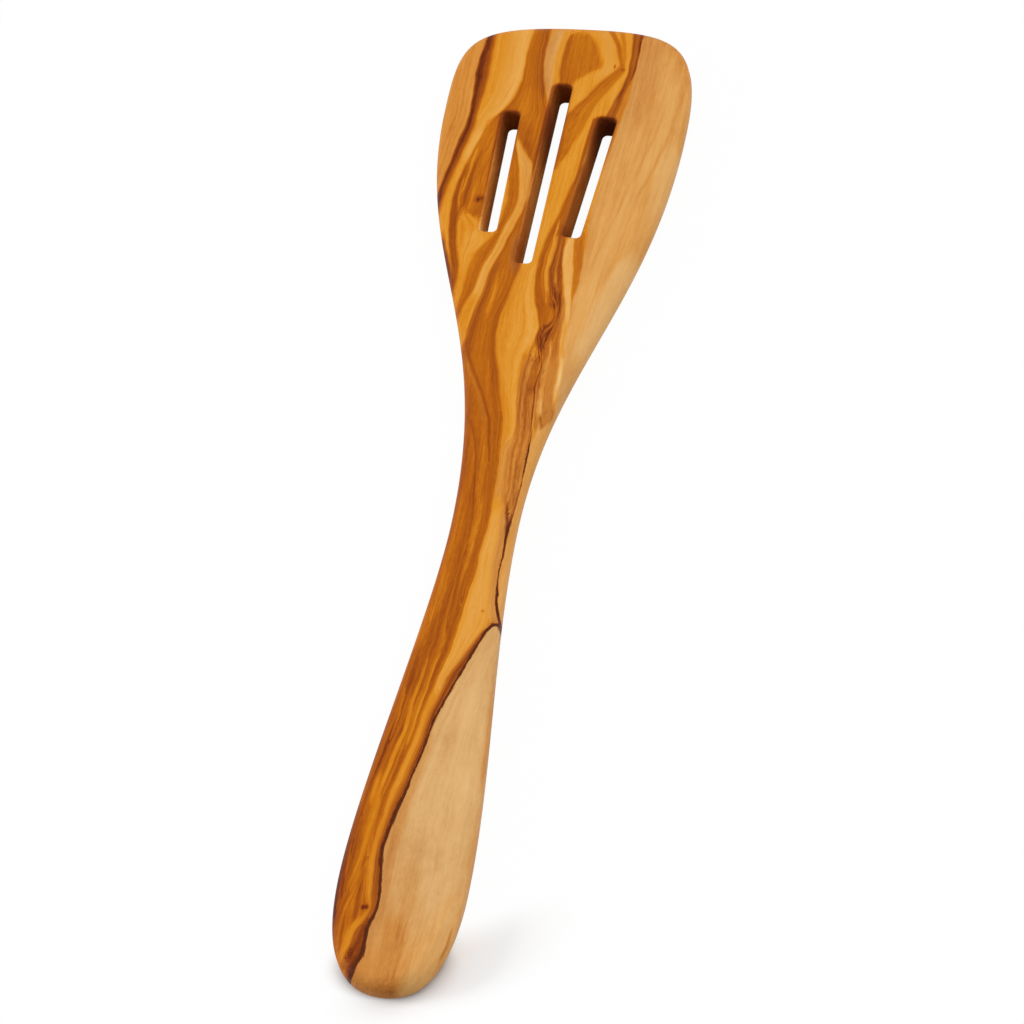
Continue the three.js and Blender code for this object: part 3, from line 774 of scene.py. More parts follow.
# %% The dark stripe of the blade
STRIPE_BANDS = [
    band("dark stripe beside the tip's left edge", (0.84, 0.68), 0, (0.8, 1.6), [
        (152, -25, -22.4), (145, -25.4, -22.9), (141, -25.6, -22.9), (136, -25.9, -22.5),
        (132, -26.1, -22.3), (128, -25.8, -22.5), (124, -25.5, -22.8), (120, -25.4, -23.2),
        (116, -25.9, -23.4), (112, -26.6, -24), (108, -27.2, -24.7), (104, -27.7, -25.4),
        (100, -28.3, -26.2), (95, -29, -26.9), (91, -29.8, -27.5), (86, -30.6, -28.2)]),
    band("darker core of the stripe", 0.89, 0, 1, [
        (147, -25.2, -24.2), (141, -25.4, -24.4), (136, -25.7, -24.4), (132, -25.9, -24.2),
        (128, -25.6, -24.4), (124, -25.3, -24.4), (118, -25.3, -24.6), (110, -26.5, -25.9),
        (100, -28, -27.4), (94, -28.8, -28), (88, -29.8, -28.8)]),
]
print(f"the stripe has {len(STRIPE_BANDS)} bands")

# %% Bands of the sapwood
# Stations of the edge: place along the board, place across it
SAPWOOD_EDGE = [
    (152, 17.9), (143, 18), (136, 17.8), (132, 17.7), (129, 17.6), (125, 17.1), (120, 16.5),
    (112, 15.7), (105, 15), (98, 14.4), (90, 13.7), (84, 13.6), (80, 14.2), (75, 14.4), (70, 14.4),
    (65, 14.4), (60, 13.6), (55, 13.8), (50, 13.8), (45, 14.2), (40, 15), (35, 15.2), (30, 15.2),
    (26, 15), (22, 13.4), (18, 11.2), (14, 10.6), (8, 10.5), (0, 10.3), (-10, 9.7), (-20, 9.5),
    (-30, 10.3), (-40, 12.8)]
SAPWOOD_BANDS = [
    tint("yellower sapwood of the blade", 0.34, 0.47, 1, [(155, 0, OUT), (100, 0, OUT), (40, 0, OUT)], 30),
    tint("greyer left part of the blade's sapwood", 0.42, 0.55, 6, [
        (152, 17, 25), (140, 17, 25.5), (130, 16, 24), (118, 15, 20.5), (104, 14, 16)], 14),
    tint("orange corner at the tip", 0.43, 0.42, 5, [(155, 20, OUT), (146, 23, OUT), (138, 29, OUT)], 10),
    tint("brightest part of the blade's sapwood", 0.26, 0.5, 4, [
        (134, 25, 29), (128, 25.6, 30), (115, 25.5, 29.5), (100, 22.5, 27), (85, 19, 23.5),
        (70, 16.6, 20.5), (55, 15.6, 19)], 14),
    tint("pale margin of the blade's sapwood", 0.28, 0.6, 3, [
        (112, 28.6, 33), (104, 28.4, OUT), (96, 28.8, OUT), (88, 28.6, OUT)], 10),
    tint("pale margin of the shoulder's sapwood", 0.2, 0.68, 3, [
        (76, 25, OUT), (70, 22.6, OUT), (64, 20.6, OUT), (56, 18.8, OUT), (50, 17.6, OUT),
        (44, 16.6, OUT)], 8),
    tint("outer orange line of the blade's sapwood", 0.42, 0.45, 1.2, [
        (136, 31.6, 32.3), (126, 31.2, 31.8), (116, 30, 30.6), (105, 27.9, 28.5), (94, 25, 25.6)], 8),
    tint("inner orange line of the blade's sapwood", 0.39, 0.48, 1.2, [
        (124, 27.8, 28.3), (112, 25.6, 26.1), (98, 22.4, 22.9), (84, 19, 19.5), (70, 16.6, 17)], 8),
    tint("orange sapwood of the neck", 0.31, 0.35, 1, [(26, 0, OUT), (0, 0, OUT), (-38, 0, OUT)], 12),
    band("sapwood of the handle", 0.33, 1, 1, [
        (-42, 10, 14), (-60, 4, 14.5), (-80, -1, 15.6), (-100, -4, 17), (-120, -4.5, 17.3),
        (-140, -5, 16), (-155, -6, 14)], 10),
    tint("duller top of the handle's sapwood", 0.38, 0.95, 2, [
        (-38, -OUT, OUT), (-50, -OUT, OUT), (-66, -OUT, OUT)], 30),
    tint("palest part of the handle's sapwood", 0.29, 1, 5, [
        (-60, 9, 12), (-85, 8, 14), (-104, 8, 15), (-118, 8.5, 14)], 20),
    tint("mottled part of the handle's sapwood", 0.39, 0.8, 6, [
        (-112, -1, 3), (-120, -0.5, 5.5), (-128, 0, 6.5), (-135, 0, 6)], 24),
    tint("orange end of the handle's sapwood", (0.52, 0.46), 0.45, 2, [
        (-136, -OUT, OUT), (-150, -OUT, OUT), (-180, -OUT, OUT)], 30),
    tint("orange heart of the handle's end", 0.47, 0.5, 3.5, [
        (-130, -3, 4.5), (-136, -5, 5), (-142, -5.5, 4.5), (-152, -7.5, 3.5)], 8),
    tint("paler right side of the handle's end", 0.3, 0.68, 4, [
        (-120, 15, 18), (-126, 13.4, 18), (-133, 11.5, 18), (-140, 9, 16), (-145, 7.5, 15),
        (-152, 6, 15)], 10),
    tint("browner sapwood along the dark line", 0.46, 0.7, (0.6, 3), [
        (-74, -0.5, 1.4), (-86, -2.4, 0.2), (-95, -3.8, -0.8), (-104, -5.4, -1.4), (-112, -6, -2),
        (-120, -5, -1.4), (-128, -4.6, -0.6), (-134, -5.8, -0.8), (-140, -5.8, 0)], 8),
    tint("orange streak by the handle's right edge", 0.46, 0.6, 1.2, [
        (-56, 13.2, 14.1), (-64, 14, 15), (-72, 14.6, 15.6), (-80, 15.2, 16.2), (-88, 15.8, 16.6)], 8),
    tint("orange streak further down that edge", 0.34, 0.85, 1.2, [
        (-106, 16.4, 17.2), (-116, 16.2, 17.2), (-126, 15.4, 16.6), (-136, 13.6, 15)], 10),
    tint("red streak near the handle's end", 0.56, 0.5, 0.8, [
        (-131, 16.6, 17.1), (-135, 16.2, 16.8), (-140, 15.2, 15.8)], 4),
]
print(f"the sapwood has {len(SAPWOOD_BANDS)} bands")

# %% The dark line, the burl and the knots
# Stations of the line: place along the board, place across it, half width, ink
DARK_LINE = [
    (66, 9.8, 0.2, 0.2), (62, 10, 0.22, 0.25), (58, 10.4, 0.25, 0.3), (55, 10.3, 0.25, 0.3),
    (52, 9.5, 0.25, 0.3), (50, 8.2, 0.3, 0.3), (48, 7.6, 0.2, 0.35), (45, 7.9, 0.15, 0.4),
    (42, 8.5, 0.12, 0.5), (39, 8.9, 0.15, 0.6), (36, 8.5, 0.15, 0.6), (33, 8.4, 0.18, 0.7),
    (30, 8.8, 0.15, 0.6), (27, 9, 0.15, 0.6), (24, 9.3, 0.15, 0.6), (21, 9.6, 0.12, 0.5),
    (18, 10.1, 0.08, 0.5), (15, 10.2, 0.18, 1), (12, 10.2, 0.24, 1), (9, 10.2, 0.22, 1),
    (5, 10.2, 0.15, 0.8), (1, 10.1, 0.12, 0.6), (-3, 9.9, 0.11, 0.5), (-6, 9.7, 0.14, 0.6),
    (-9, 9.35, 0.22, 0.8), (-12, 9.05, 0.36, 1), (-15, 9.15, 0.26, 1), (-18, 9.35, 0.18, 0.9),
    (-21, 9.3, 0.16, 0.9), (-24, 9.2, 0.16, 0.9), (-27, 9.35, 0.18, 0.9), (-30, 9.7, 0.22, 1),
    (-33, 10.1, 0.28, 1), (-35, 10.5, 0.34, 1), (-37, 11.2, 0.4, 1), (-38.3, 11.9, 0.46, 1),
    (-39, 12.3, 0.48, 1), (-39.5, 12.1, 0.46, 1), (-40, 11.3, 0.42, 1), (-40.6, 10.6, 0.38, 1),
    (-41.6, 9.95, 0.34, 1), (-43.5, 9, 0.32, 1), (-46, 8.1, 0.3, 1), (-49, 7.1, 0.3, 1),
    (-52, 6.1, 0.3, 1), (-55, 5.15, 0.3, 1), (-58, 4.2, 0.3, 1), (-61, 3.3, 0.3, 1), (-64, 2.4, 0.28, 1),
    (-67, 1.5, 0.28, 1), (-70, 0.6, 0.28, 1), (-74, 0, 0.28, 1), (-78, -0.5, 0.28, 1),
    (-82, -1.1, 0.3, 1), (-85, -1.7, 0.3, 1), (-88, -2.3, 0.3, 1), (-91, -2.7, 0.35, 1),
    (-94, -3.2, 0.42, 1), (-97, -4, 0.46, 1), (-100, -4.5, 0.46, 1), (-103, -5, 0.42, 1),
    (-106, -5.4, 0.38, 1), (-110, -5.75, 0.38, 1), (-113, -5.5, 0.36, 1), (-116, -5, 0.34, 1),
    (-119, -4.6, 0.34, 1), (-122, -4.2, 0.34, 1), (-125, -3.85, 0.34, 1), (-127, -3.85, 0.34, 1),
    (-129.5, -4.3, 0.36, 1), (-132, -5, 0.42, 1), (-135, -5.3, 0.48, 1), (-138, -5.2, 0.48, 1),
    (-140, -5.1, 0.48, 1), (-142, -5.4, 0.48, 1), (-144, -6.2, 0.46, 1), (-146, -6.6, 0.5, 1),
    (-149, -7.5, 0.5, 1)]
# Stations of the burl: place along the board, place across it, half width, strength
BURL = [
    (88, 7.4, 1, 0), (82, 7.2, 1.3, 0.3), (75, 7.2, 1.5, 0.35), (70, 7.6, 2, 0.6), (66, 8.2, 2.4, 0.9),
    (62, 8.8, 2.4, 1), (58, 9.4, 2.2, 1), (54, 9.2, 2.4, 1), (50, 8.2, 2.8, 1), (46, 8, 3, 1),
    (40, 8.2, 3.4, 0.8), (32, 8.4, 3.8, 0.7), (24, 8.6, 3.6, 0.6), (14, 8.2, 3, 0.55), (4, 8, 2.6, 0.55),
    (-4, 8.2, 2, 0.5), (-12, 8.6, 1.2, 0.3), (-18, 8.8, 0.8, 0)]
# Knots: name, place across the board, place along it, half width, half length, tone
KNOTS = [
    ("halo of the knot below the slots' left", -17.5, 91.7, 1.7, 1.6, 0.64),
    ("left half of that knot", -17.9, 91.5, 0.6, 0.8, 0.84),
    ("right half of that knot", -17.2, 92, 0.5, 0.6, 0.8),
    ("eye of the small twig", 11.6, 136.6, 0.35, 0.7, 0.7),
    ("knot where the arc turns", 14.0, 135.7, 0.7, 0.8, 0.68),
    ("pin knot", 7.2, -37.0, 0.45, 0.55, 0.55),
    ("left half of the knot in the handle", -7.6, -127.5, 0.6, 0.9, 0.95),
    ("right half of the knot in the handle", -6.7, -127.3, 0.6, 0.8, 0.95),
    ("dark spot on the neck's dark line", 8.4, -6.5, 0.35, 0.6, 0.85),
    ("dark wedge where the two lines meet", 12.3, -39.8, 0.8, 1.2, 0.86),
]
print(f"the dark line has {len(DARK_LINE)} stations, and the wood has {len(KNOTS)} knots")

# %% [markdown]
# ### Laying the bands
# The figure runs through the board, so it is worked out for every point of the mesh: on the front
# as drawn, and deeper in the wood a little further to the side, because the growth layers lie at a
# slant. That carries each band over the rounded edges, down the slot walls and on to the back
# without a seam. The material will read the results from the mesh's points: the tone, the share of
# sapwood, the place across the grain, the share of restless burl figure, and the distance to the
# dark line, which stays sharp however fine the mesh is.

# %% Lay the bands
LAYER_SLANT = 0.22
SLANT_CHANGE = 0.5
SLANT_WAVE = 31.0
GOLD_TONE = 0.32
SAPWOOD_TONE = 0.36
SAPWOOD_SHARE = 0.8
SAPWOOD_BLUR = 0.8
HANDLE_TOP = -40.0
DARK_LINE_TOP = (62.0, 67.0)
LEAN_STEP = 0.2
KNOT_BLUR = (0.5, 1.3)
BURL_BLUR = (0.4, 1.2)
# Waves of the wander: size, length, lean, phase
WANDER_WAVES = [(0.12, 5.6, 0.11, 0.0), (0.08, 2.3, 0.35, 1.3), (0.05, 0.83, -0.6, 2.1)]
# Stations of the grain's fan: place along the board, middle, spread
GRAIN_FAN = [
    (152, -2, 1.9), (110, -2, 1.8), (80, -2, 1.6), (50, 0, 1.25), (25, 2, 0.95), (0, 3, 0.8),
    (-40, 2, 0.8), (-70, 1, 1.0), (-110, 0, 1.3), (-152, 0, 1.4)]
HEARTWOOD_BANDS = (
    BLADE_BANDS + HEART_BANDS + SHOULDER_BANDS + NECK_BANDS + STRIPE_BANDS + HANDLE_BANDS)


def wobble(x, y):
    """Small sideways wander of the growth layers: sine waves along the board, each with its own size,
    length, lean and phase, so that no edge is quite as smooth as its curve."""
    waves = [size * np.sin(y / length + lean * x + phase) for size, length, lean, phase in WANDER_WAVES]
    return sum(waves)


def dark_line(x, y):
    """Distance to the dark line, half of its width, and its ink. The distance is square to the line:
    the sideways distance divided by the length of the line per millimetre of the board."""
    line_x, line_half, line_ink = along(DARK_LINE, y).T
    above, below = along(DARK_LINE, y + LEAN_STEP), along(DARK_LINE, y - LEAN_STEP)
    lean = (above[:, 0] - below[:, 0]) / (2 * LEAN_STEP)
    gap = (x - line_x) / np.hypot(1, lean)
    return gap, line_half, line_ink * (1 - ease(*DARK_LINE_TOP, y))


def wood_figure(x, y, z):
    """What the material reads, for each point: the bands of the heartwood are laid first, then the
    sapwood with its own bands, then the knots."""
    slant = LAYER_SLANT * (1 + SLANT_CHANGE * np.sin(y / SLANT_WAVE))
    x = x + slant * (board_thickness - z)
    wandering = x + wobble(x, y)
    grain_middle, grain_spread = along(GRAIN_FAN, y).T
    tone = np.full(x.shape, GOLD_TONE)
    sap = np.zeros(x.shape)
    across = (x - grain_middle) / grain_spread
    fields = tone, sap, across
    for one in HEARTWOOD_BANDS:
        lay_band(one, wandering, y, fields)
    gap, line_half, line_ink = dark_line(x, y)
    past_edge = np.where(y > HANDLE_TOP, wandering - along(SAPWOOD_EDGE, y)[:, 0], gap)
    sapwood = ease(-SAPWOOD_BLUR / 2, SAPWOOD_BLUR / 2, past_edge)
    lay(tone, SAPWOOD_TONE, sapwood)
    lay(sap, SAPWOOD_SHARE, sapwood)
    for one in SAPWOOD_BANDS:
        lay_band(one, wandering, y, fields, sapwood)
    for _, middle_x, middle_y, half_width, half_length, knot_tone in KNOTS:
        away = np.hypot((x - middle_x) / half_width, (y - middle_y) / half_length)
        lay(tone, knot_tone, 1 - ease(*KNOT_BLUR, away))
    burl_x, burl_half, burl_strength = along(BURL, y).T
    burl = burl_strength * (1 - ease(*BURL_BLUR, np.abs(wandering - burl_x) / burl_half))
    return {
        "tone": tone, "sap": sap, "across": across, "gap": gap, "line_half": line_half,
        "line_ink": line_ink, "burl": burl}


x, y, z = points.T
figure = wood_figure(x, y, z)
darkest = max(HEARTWOOD_BANDS, key=lambda one: max(left_and_right(one["tone"])))
print(f"the darkest of {len(HEARTWOOD_BANDS)} bands in the heartwood: {darkest['name']}")
print(f"the points have {100 * figure['sap'].mean():.0f} % of sapwood on the whole")

# %% [markdown]
# ### Painted shade and light in the slots
# The slot walls are painted darker as shade: most at each slot's end near the tip, least near the
# handle. They are also greyer. The rims are painted darker as shade on their left side, more so near
# the tip. All this could be a noise of its own, but it has clear places, so it is painted as the
# bands are: as a share of a dark tone. Where the share is below 0, a wall is painted lighter than the
# face beside it, as light.

# %% Paint shade on the slots
# Left, middle and right slot: how much wider its band of painted rim shade gets towards the tip, and
# its shares of painted wall shade at the rim near the handle, at the rim near the tip, and on top of
# that further inside, where a share below 0 is painted light
SLOT_PAINTED_SHADE = [
    {"shade_wider_to_tip": 0.0, "painted_shade": -0.24, "shade_at_tip": 0.56, "inside": -0.08},
    {"shade_wider_to_tip": 0.1, "painted_shade": 0.0, "shade_at_tip": 0.68, "inside": -0.08},
    {"shade_wider_to_tip": 0.5, "painted_shade": 0.11, "shade_at_tip": 0.78, "inside": 0.12}]
INSIDE_LESS_AT_TIP = 0.08
INSIDE_DEPTH = (0.5, 4.0)
WALL_DEPTH = (0.0, 0.1)
# The slot walls take at least this share of sapwood colour, which makes them greyer
WALL_SAP_SHARE = 0.4
# Painted shade on the rims: width of its band, also at a slot's ends, its blur, its share and more near
# the tip, less of it on a slot's right
RIM_SHADE_WIDTH = 0.75
END_RIM_SHADE_WIDTH = 0.45
RIM_BLUR = 0.25
RIM_SHADE_SHARE = 0.16
RIM_SHADE_MORE_AT_TIP = 0.44
LESS_SHADE_RIGHT = 0.85
RIGHT_END_LESS_SHADE = 0.6
RIGHT_SIDE_BLUR = (-1.5, 1.5)
RIGHT_CORNER_BLUR = (0.0, 2.0)
END_BLUR = (-1.0, 0.0)
FRONT_HALF = (3.0, 6.0)
# Where along the board each of these changes towards the tip: the walls' painted shade, its change
# further inside, and the width and share of the rims' painted shade
WALL_SHADE_RISES = (101.0, 117.0)
INSIDE_FALLS = (100.0, 116.0)
RIM_SHADE_WIDENS = (90.0, 112.0)
RIM_SHADE_RISES = (92.0, 110.0)


def painted_rim_shade(x, y):
    """Share of painted shade on the face: most on a band round a slot's rim, weaker on its right, and
    none further away. The distance is that to the slot's own outline with its round corners. Towards
    the tip the band widens and its painted shade grows."""
    shade_on_rims = np.zeros(x.shape)
    for slot, slot_shade in zip(SLOTS, SLOT_PAINTED_SHADE):
        middle, axes = slot_place(slot)
        own = (np.stack([x, y], axis=1) - middle) @ axes
        past = np.abs(own) - (slot["width"] / 2, slot["length"] / 2)
        corner = np.maximum(past + SLOT_CORNER_RADIUS, 0)
        away = np.hypot(corner[:, 0], corner[:, 1]) - SLOT_CORNER_RADIUS
        at_end = ease(*END_BLUR, past[:, 1])
        on_sides = 1 - LESS_SHADE_RIGHT * ease(*RIGHT_SIDE_BLUR, own[:, 0])
        on_ends = at_end * (1 - RIGHT_END_LESS_SHADE * ease(*RIGHT_CORNER_BLUR, own[:, 0]))
        shade_width = RIM_SHADE_WIDTH + slot_shade["shade_wider_to_tip"] * ease(*RIM_SHADE_WIDENS, y)
        lay(shade_width, END_RIM_SHADE_WIDTH, at_end)
        on_rim = 1 - ease(-RIM_BLUR, RIM_BLUR, away - shade_width)
        shade_on_rims = np.maximum(shade_on_rims, np.maximum(on_sides, on_ends) * on_rim)
    return shade_on_rims * (RIM_SHADE_SHARE + RIM_SHADE_MORE_AT_TIP * ease(*RIM_SHADE_RISES, y))


def wall_shade_share(depth, y):
    """Share of painted shade at the points of the slots' walls, painted light where it is below 0: a
    slot's own share at the rim, which rises to its share at the tip's end, plus its change further
    inside, which falls towards the tip."""
    own = {key: np.repeat([slot_shade[key] for slot_shade in SLOT_PAINTED_SHADE], grid_sizes[1:]) for key in SLOT_PAINTED_SHADE[0]}
    at_rim = own["painted_shade"] + (own["shade_at_tip"] - own["painted_shade"]) * ease(*WALL_SHADE_RISES, y)
    inside = own["inside"] - INSIDE_LESS_AT_TIP * ease(*INSIDE_FALLS, y)
    return at_rim + inside * ease(*INSIDE_DEPTH, depth)


slot_points = slice(grid_starts[1], front_start)
depth_in_slot = board_thickness - z[slot_points]
in_slot = np.zeros(len(points))
in_slot[slot_points] = ease(*WALL_DEPTH, depth_in_slot)
# Painted shade on the face round the rims and on the slot walls; a wall's share below 0 is painted light
slot_wall = painted_rim_shade(x, y) * ease(*FRONT_HALF, z) * (1 - in_slot)
slot_wall[slot_points] += in_slot[slot_points] * wall_shade_share(depth_in_slot, y[slot_points])
lay(figure["sap"], np.maximum(figure["sap"], WALL_SAP_SHARE), in_slot)
print(f"the slots' share of scorch runs from {slot_wall.min():.2f} to {slot_wall.max():.2f}")

# %% Store the figure on the mesh


def store(name, values):
    """One number per point, as a named attribute of the mesh."""
    attribute = mesh.attributes.new(name, "FLOAT", "POINT")
    attribute.data.foreach_set("value", np.asarray(values, np.float32))


normals = np.zeros(3 * len(points), np.float32)
mesh.vertices.foreach_get("normal", normals)
end_grain = normals.reshape(-1, 3)[:, 1] ** 2
figure.update(end_grain=end_grain, slot_wall=slot_wall, in_slot=in_slot)
for name, values in figure.items():
    store(name, values)
print("stored on the points:", ", ".join(figure))

# %% [markdown]
# ## A map for the finish
# When a finish is baked to a picture, every part of the surface needs its own place on that picture.
# Blender can unwrap by itself, but on a flat board it is easy to do better: the front and the back
# lie side by side, stretched across so that the fine figure gets more of the picture, each half of
# the rounded edge is unrolled outwards round its face, and the slot walls are folded into the slots'
# own empty space.

# %% Unroll the board
MAP_GAP = 3.0
MAP_MARGIN = 0.01
SLOT_FOLD = 0.8


def unrolled(row):
    """Flat places of every point seen from one face, row 0 the front and row -1 the back: points of
    the edge move outwards by their way along the profile, points of a slot wall move in towards the
    slot's middle line by their share of the way, and points of the face stay."""
    flat = points[:, :2].copy()
    way = np.concatenate([[0], np.cumsum(np.hypot(*np.diff(edge_profile, axis=0).T))])
    way = way if row == 0 else way[-1] - way
    outwards = edge_grid[row, None, :, :2] + way[:, None, None] * outline_out[None]
    flat[:grid_sizes[0]] = outwards.reshape(-1, 2)
    share = np.linspace(0, 2 * SLOT_FOLD, len(slot_profile))
    share = (share if row == 0 else share[::-1])[:, None, None]
    for slot, walls, start, size in zip(SLOTS, slot_grids, grid_starts[1:], grid_sizes[1:]):
        middle, axes = slot_place(slot)
        own = (walls[row, :, :2] - middle) @ axes
        reach = (slot["length"] - slot["width"]) / 2
        spine = np.stack([np.zeros(len(own)), np.clip(own[:, 1], -reach, reach)], axis=1)
        folded = own[None] + share * (spine - own)[None]
        flat[start:start + size] = (folded @ axes.T + middle).reshape(-1, 2)
    return flat


def quad_sides(grid):
    """True for the quads of a grid's front half."""
    rows, loop = grid.shape[0] - 1, grid.shape[1]
    return np.repeat(np.arange(rows) < rows // 2, loop)


face_sides = [np.ones(len(front_faces), bool), np.zeros(len(back_faces), bool)]
on_front = np.concatenate([quad_sides(grid) for grid in grids] + face_sides)
corner_on_front = np.repeat(on_front, sides)[:, None]
front_flat, back_flat = unrolled(0), unrolled(-1)
half_profile = np.hypot(*np.diff(edge_profile, axis=0).T).sum() / 2
strip_width = outline[:, 0].max() - outline[:, 0].min() + 2 * half_profile + MAP_GAP
strip_length = board_length + 2 * half_profile + MAP_GAP
flat = np.where(corner_on_front, front_flat[corners], back_flat[corners] + (strip_width, 0))
share_along = (flat[:, 1] + strip_length / 2) / strip_length
share_across = (flat[:, 0] + strip_width / 2) / (2 * strip_width)
finish_map = MAP_MARGIN + (1 - 2 * MAP_MARGIN) * np.stack([share_along, share_across], axis=1)
layer = mesh.uv_layers.new(name="OFBake")
layer.uv.foreach_set("vector", finish_map.astype(np.float32).ravel())
print(f"the map spans {finish_map.min(0)} to {finish_map.max(0)}")

# %% [markdown]
# ## The oiled wood
# A finish of oil lets the wood's own colour through and leaves a soft sheen. The material turns the
# painted tone into colour with two ramps, one for the heartwood and one for the sapwood, and mixes
# them by the painted share. Before that it adds what no hand could draw: streaks, threads and fibres
# that follow the grain. They are noise textures stretched along the board, in a space whose first
# axis is the place across the grain.

# %% Helpers for shader nodes


def linear(red, green, blue):
    """A screen colour from 0 to 255 as the linear colour that shaders use, by the sRGB curve."""
    share = np.array([red, green, blue]) / 255
    low, high = share / 12.92, ((share + 0.055) / 1.055) ** 2.4
    return (*np.where(share <= 0.04045, low, high), 1.0)


def put(tree, socket, value):
    """A number, or the link from another node, into a socket."""
    if isinstance(value, bpy.types.NodeSocket):
        tree.links.new(value, socket)
    else:
        socket.default_value = value


def maths(tree, operation, *values):
    """One step of arithmetic on sockets or numbers."""
    node = tree.nodes.new("ShaderNodeMath")
    node.operation = operation
    for socket, value in zip(node.inputs, values):
        put(tree, socket, value)
    return node.outputs[0]


def times(tree, first, second):
    """The product of two sockets or numbers."""
    return maths(tree, "MULTIPLY", first, second)


def plus(tree, base, value, amount):
    """The base plus a value times an amount."""
    return maths(tree, "MULTIPLY_ADD", value, amount, base)


def eased(tree, value, limits, to_low=0.0, to_high=1.0):
    """A smooth step between two limits."""
    node = tree.nodes.new("ShaderNodeMapRange")
    node.interpolation_type = "SMOOTHSTEP"
    numbers = {
        "Value": value, "From Min": limits[0], "From Max": limits[1], "To Min": to_low,
        "To Max": to_high}
    for name, number in numbers.items():
        put(tree, node.inputs[name], number)
    return node.outputs["Result"]


def painted(tree, name):
    """A number that was stored on the mesh's points."""
    node = tree.nodes.new("ShaderNodeAttribute")
    node.attribute_name = name
    return node.outputs["Fac"]


def ramp(tree, value, stops):
    """A colour ramp through (tone, screen colour) stops."""
    node = tree.nodes.new("ShaderNodeValToRGB")
    elements = node.color_ramp.elements
    while len(elements) < len(stops):
        elements.new(1.0)
    for element, (place, colour) in zip(elements, stops):
        element.position = place
        element.color = linear(*colour)
    put(tree, node.inputs["Fac"], value)
    return node.outputs["Color"]


print(f"a middle grey of 128 on the screen is {linear(128, 128, 128)[0]:.3f} in a shader")

# %% [markdown]
# ### The grain
# The finest marks of the wood are too many to paint, and a noise never repeats, so noise draws them.
# Each pattern has its own stretch: a small number makes it long in that direction, so streaks run
# the length of the board and pores are short dashes. Heartwood gets sharp growth lines where it is
# brown. Sapwood is quieter, cloudy and finely speckled. Where the burl was painted, a restless
# pattern makes dark and light spots.

# %% Patterns of the grain


def pattern(stretch, detail, amount, roughness=0.5):
    """A noise: its stretch across the grain, along the board and through it, its finer octaves and
    their roughness, and the amount by which it changes what it is added to. The amount of the layers
    is that on the handle and that on the blade, the burl's that of its lightest and darkest spot."""
    return {"stretch": stretch, "detail": detail, "amount": amount, "roughness": roughness}


STREAKS = pattern((0.5, 0.012, 0.14), 3.0, 0.24)
THREADS = pattern((1.7, 0.03, 0.45), 3.0, 0.26)
FIBRES = pattern((5.0, 0.12, 1.4), 2.0, 0.2)
FLECKS = pattern((4.5, 0.55, 1.6), 2.0, 0.16, 0.6)
PORES = pattern((8.0, 0.8, 3.0), 1.0, 0.03)
RINGS = pattern((0.55, 0.008, 0.18), 1.0, 0.035)
LAYERS = pattern((0.95, 0.011, 0.3), 2.0, (0.075, 0.025))
CLOUDS = pattern((0.16, 0.05, 0.1), 2.0, 0.08)
SPECKLES = pattern((1.1, 0.22, 0.5), 4.0, 0.2, 0.65)
BURL_SPOTS = pattern((2.1, 0.1, 0.6), 4.0, (-0.15, 0.19), 0.65)
RAGGED = pattern((0.9, 0.5, 0.4), 3.0, 0.7, 0.6)
SWELLING = pattern((0.3, 0.25, 0.2), 2.0, 1.6)
QUIET_SAPWOOD = 0.55
PORE_EDGE = (0.12, 0.24)
BROWN_FROM = (0.42, 0.58)
RING_EDGE = (0.0, 0.04)
LAYER_EDGE = (-0.1, 0.1)
HANDLE_TO_BLADE = (-60.0, 40.0)
CLOUDIER_SAPWOOD = 0.16
BURL_EDGE = (-0.16, 0.18)


def grain_space(tree):
    """Millimetres across the grain, along the board and through it, as one vector, and those along
    the board by themselves."""
    split = tree.nodes.new("ShaderNodeSeparateXYZ")
    put(tree, split.inputs[0], tree.nodes.new("ShaderNodeTexCoord").outputs["Object"])
    along_board, through = (maths(tree, "DIVIDE", split.outputs[axis], MM) for axis in "YZ")
    space = tree.nodes.new("ShaderNodeCombineXYZ")
    for socket, value in zip(space.inputs, (painted(tree, "across"), along_board, through)):
        put(tree, socket, value)
    return space.outputs["Vector"], along_board


def noise(tree, grain, kind):
    """Noise around zero, from about -0.5 to 0.5, in a space stretched along each axis."""
    scaled = tree.nodes.new("ShaderNodeVectorMath")
    scaled.operation = "MULTIPLY"
    put(tree, scaled.inputs[0], grain)
    scaled.inputs[1].default_value = kind["stretch"]
    node = tree.nodes.new("ShaderNodeTexNoise")
    put(tree, node.inputs["Vector"], scaled.outputs["Vector"])
    node.inputs["Scale"].default_value = 1.0
    node.inputs["Detail"].default_value = kind["detail"]
    node.inputs["Roughness"].default_value = kind["roughness"]
    return maths(tree, "SUBTRACT", node.outputs["Fac"], 0.5)


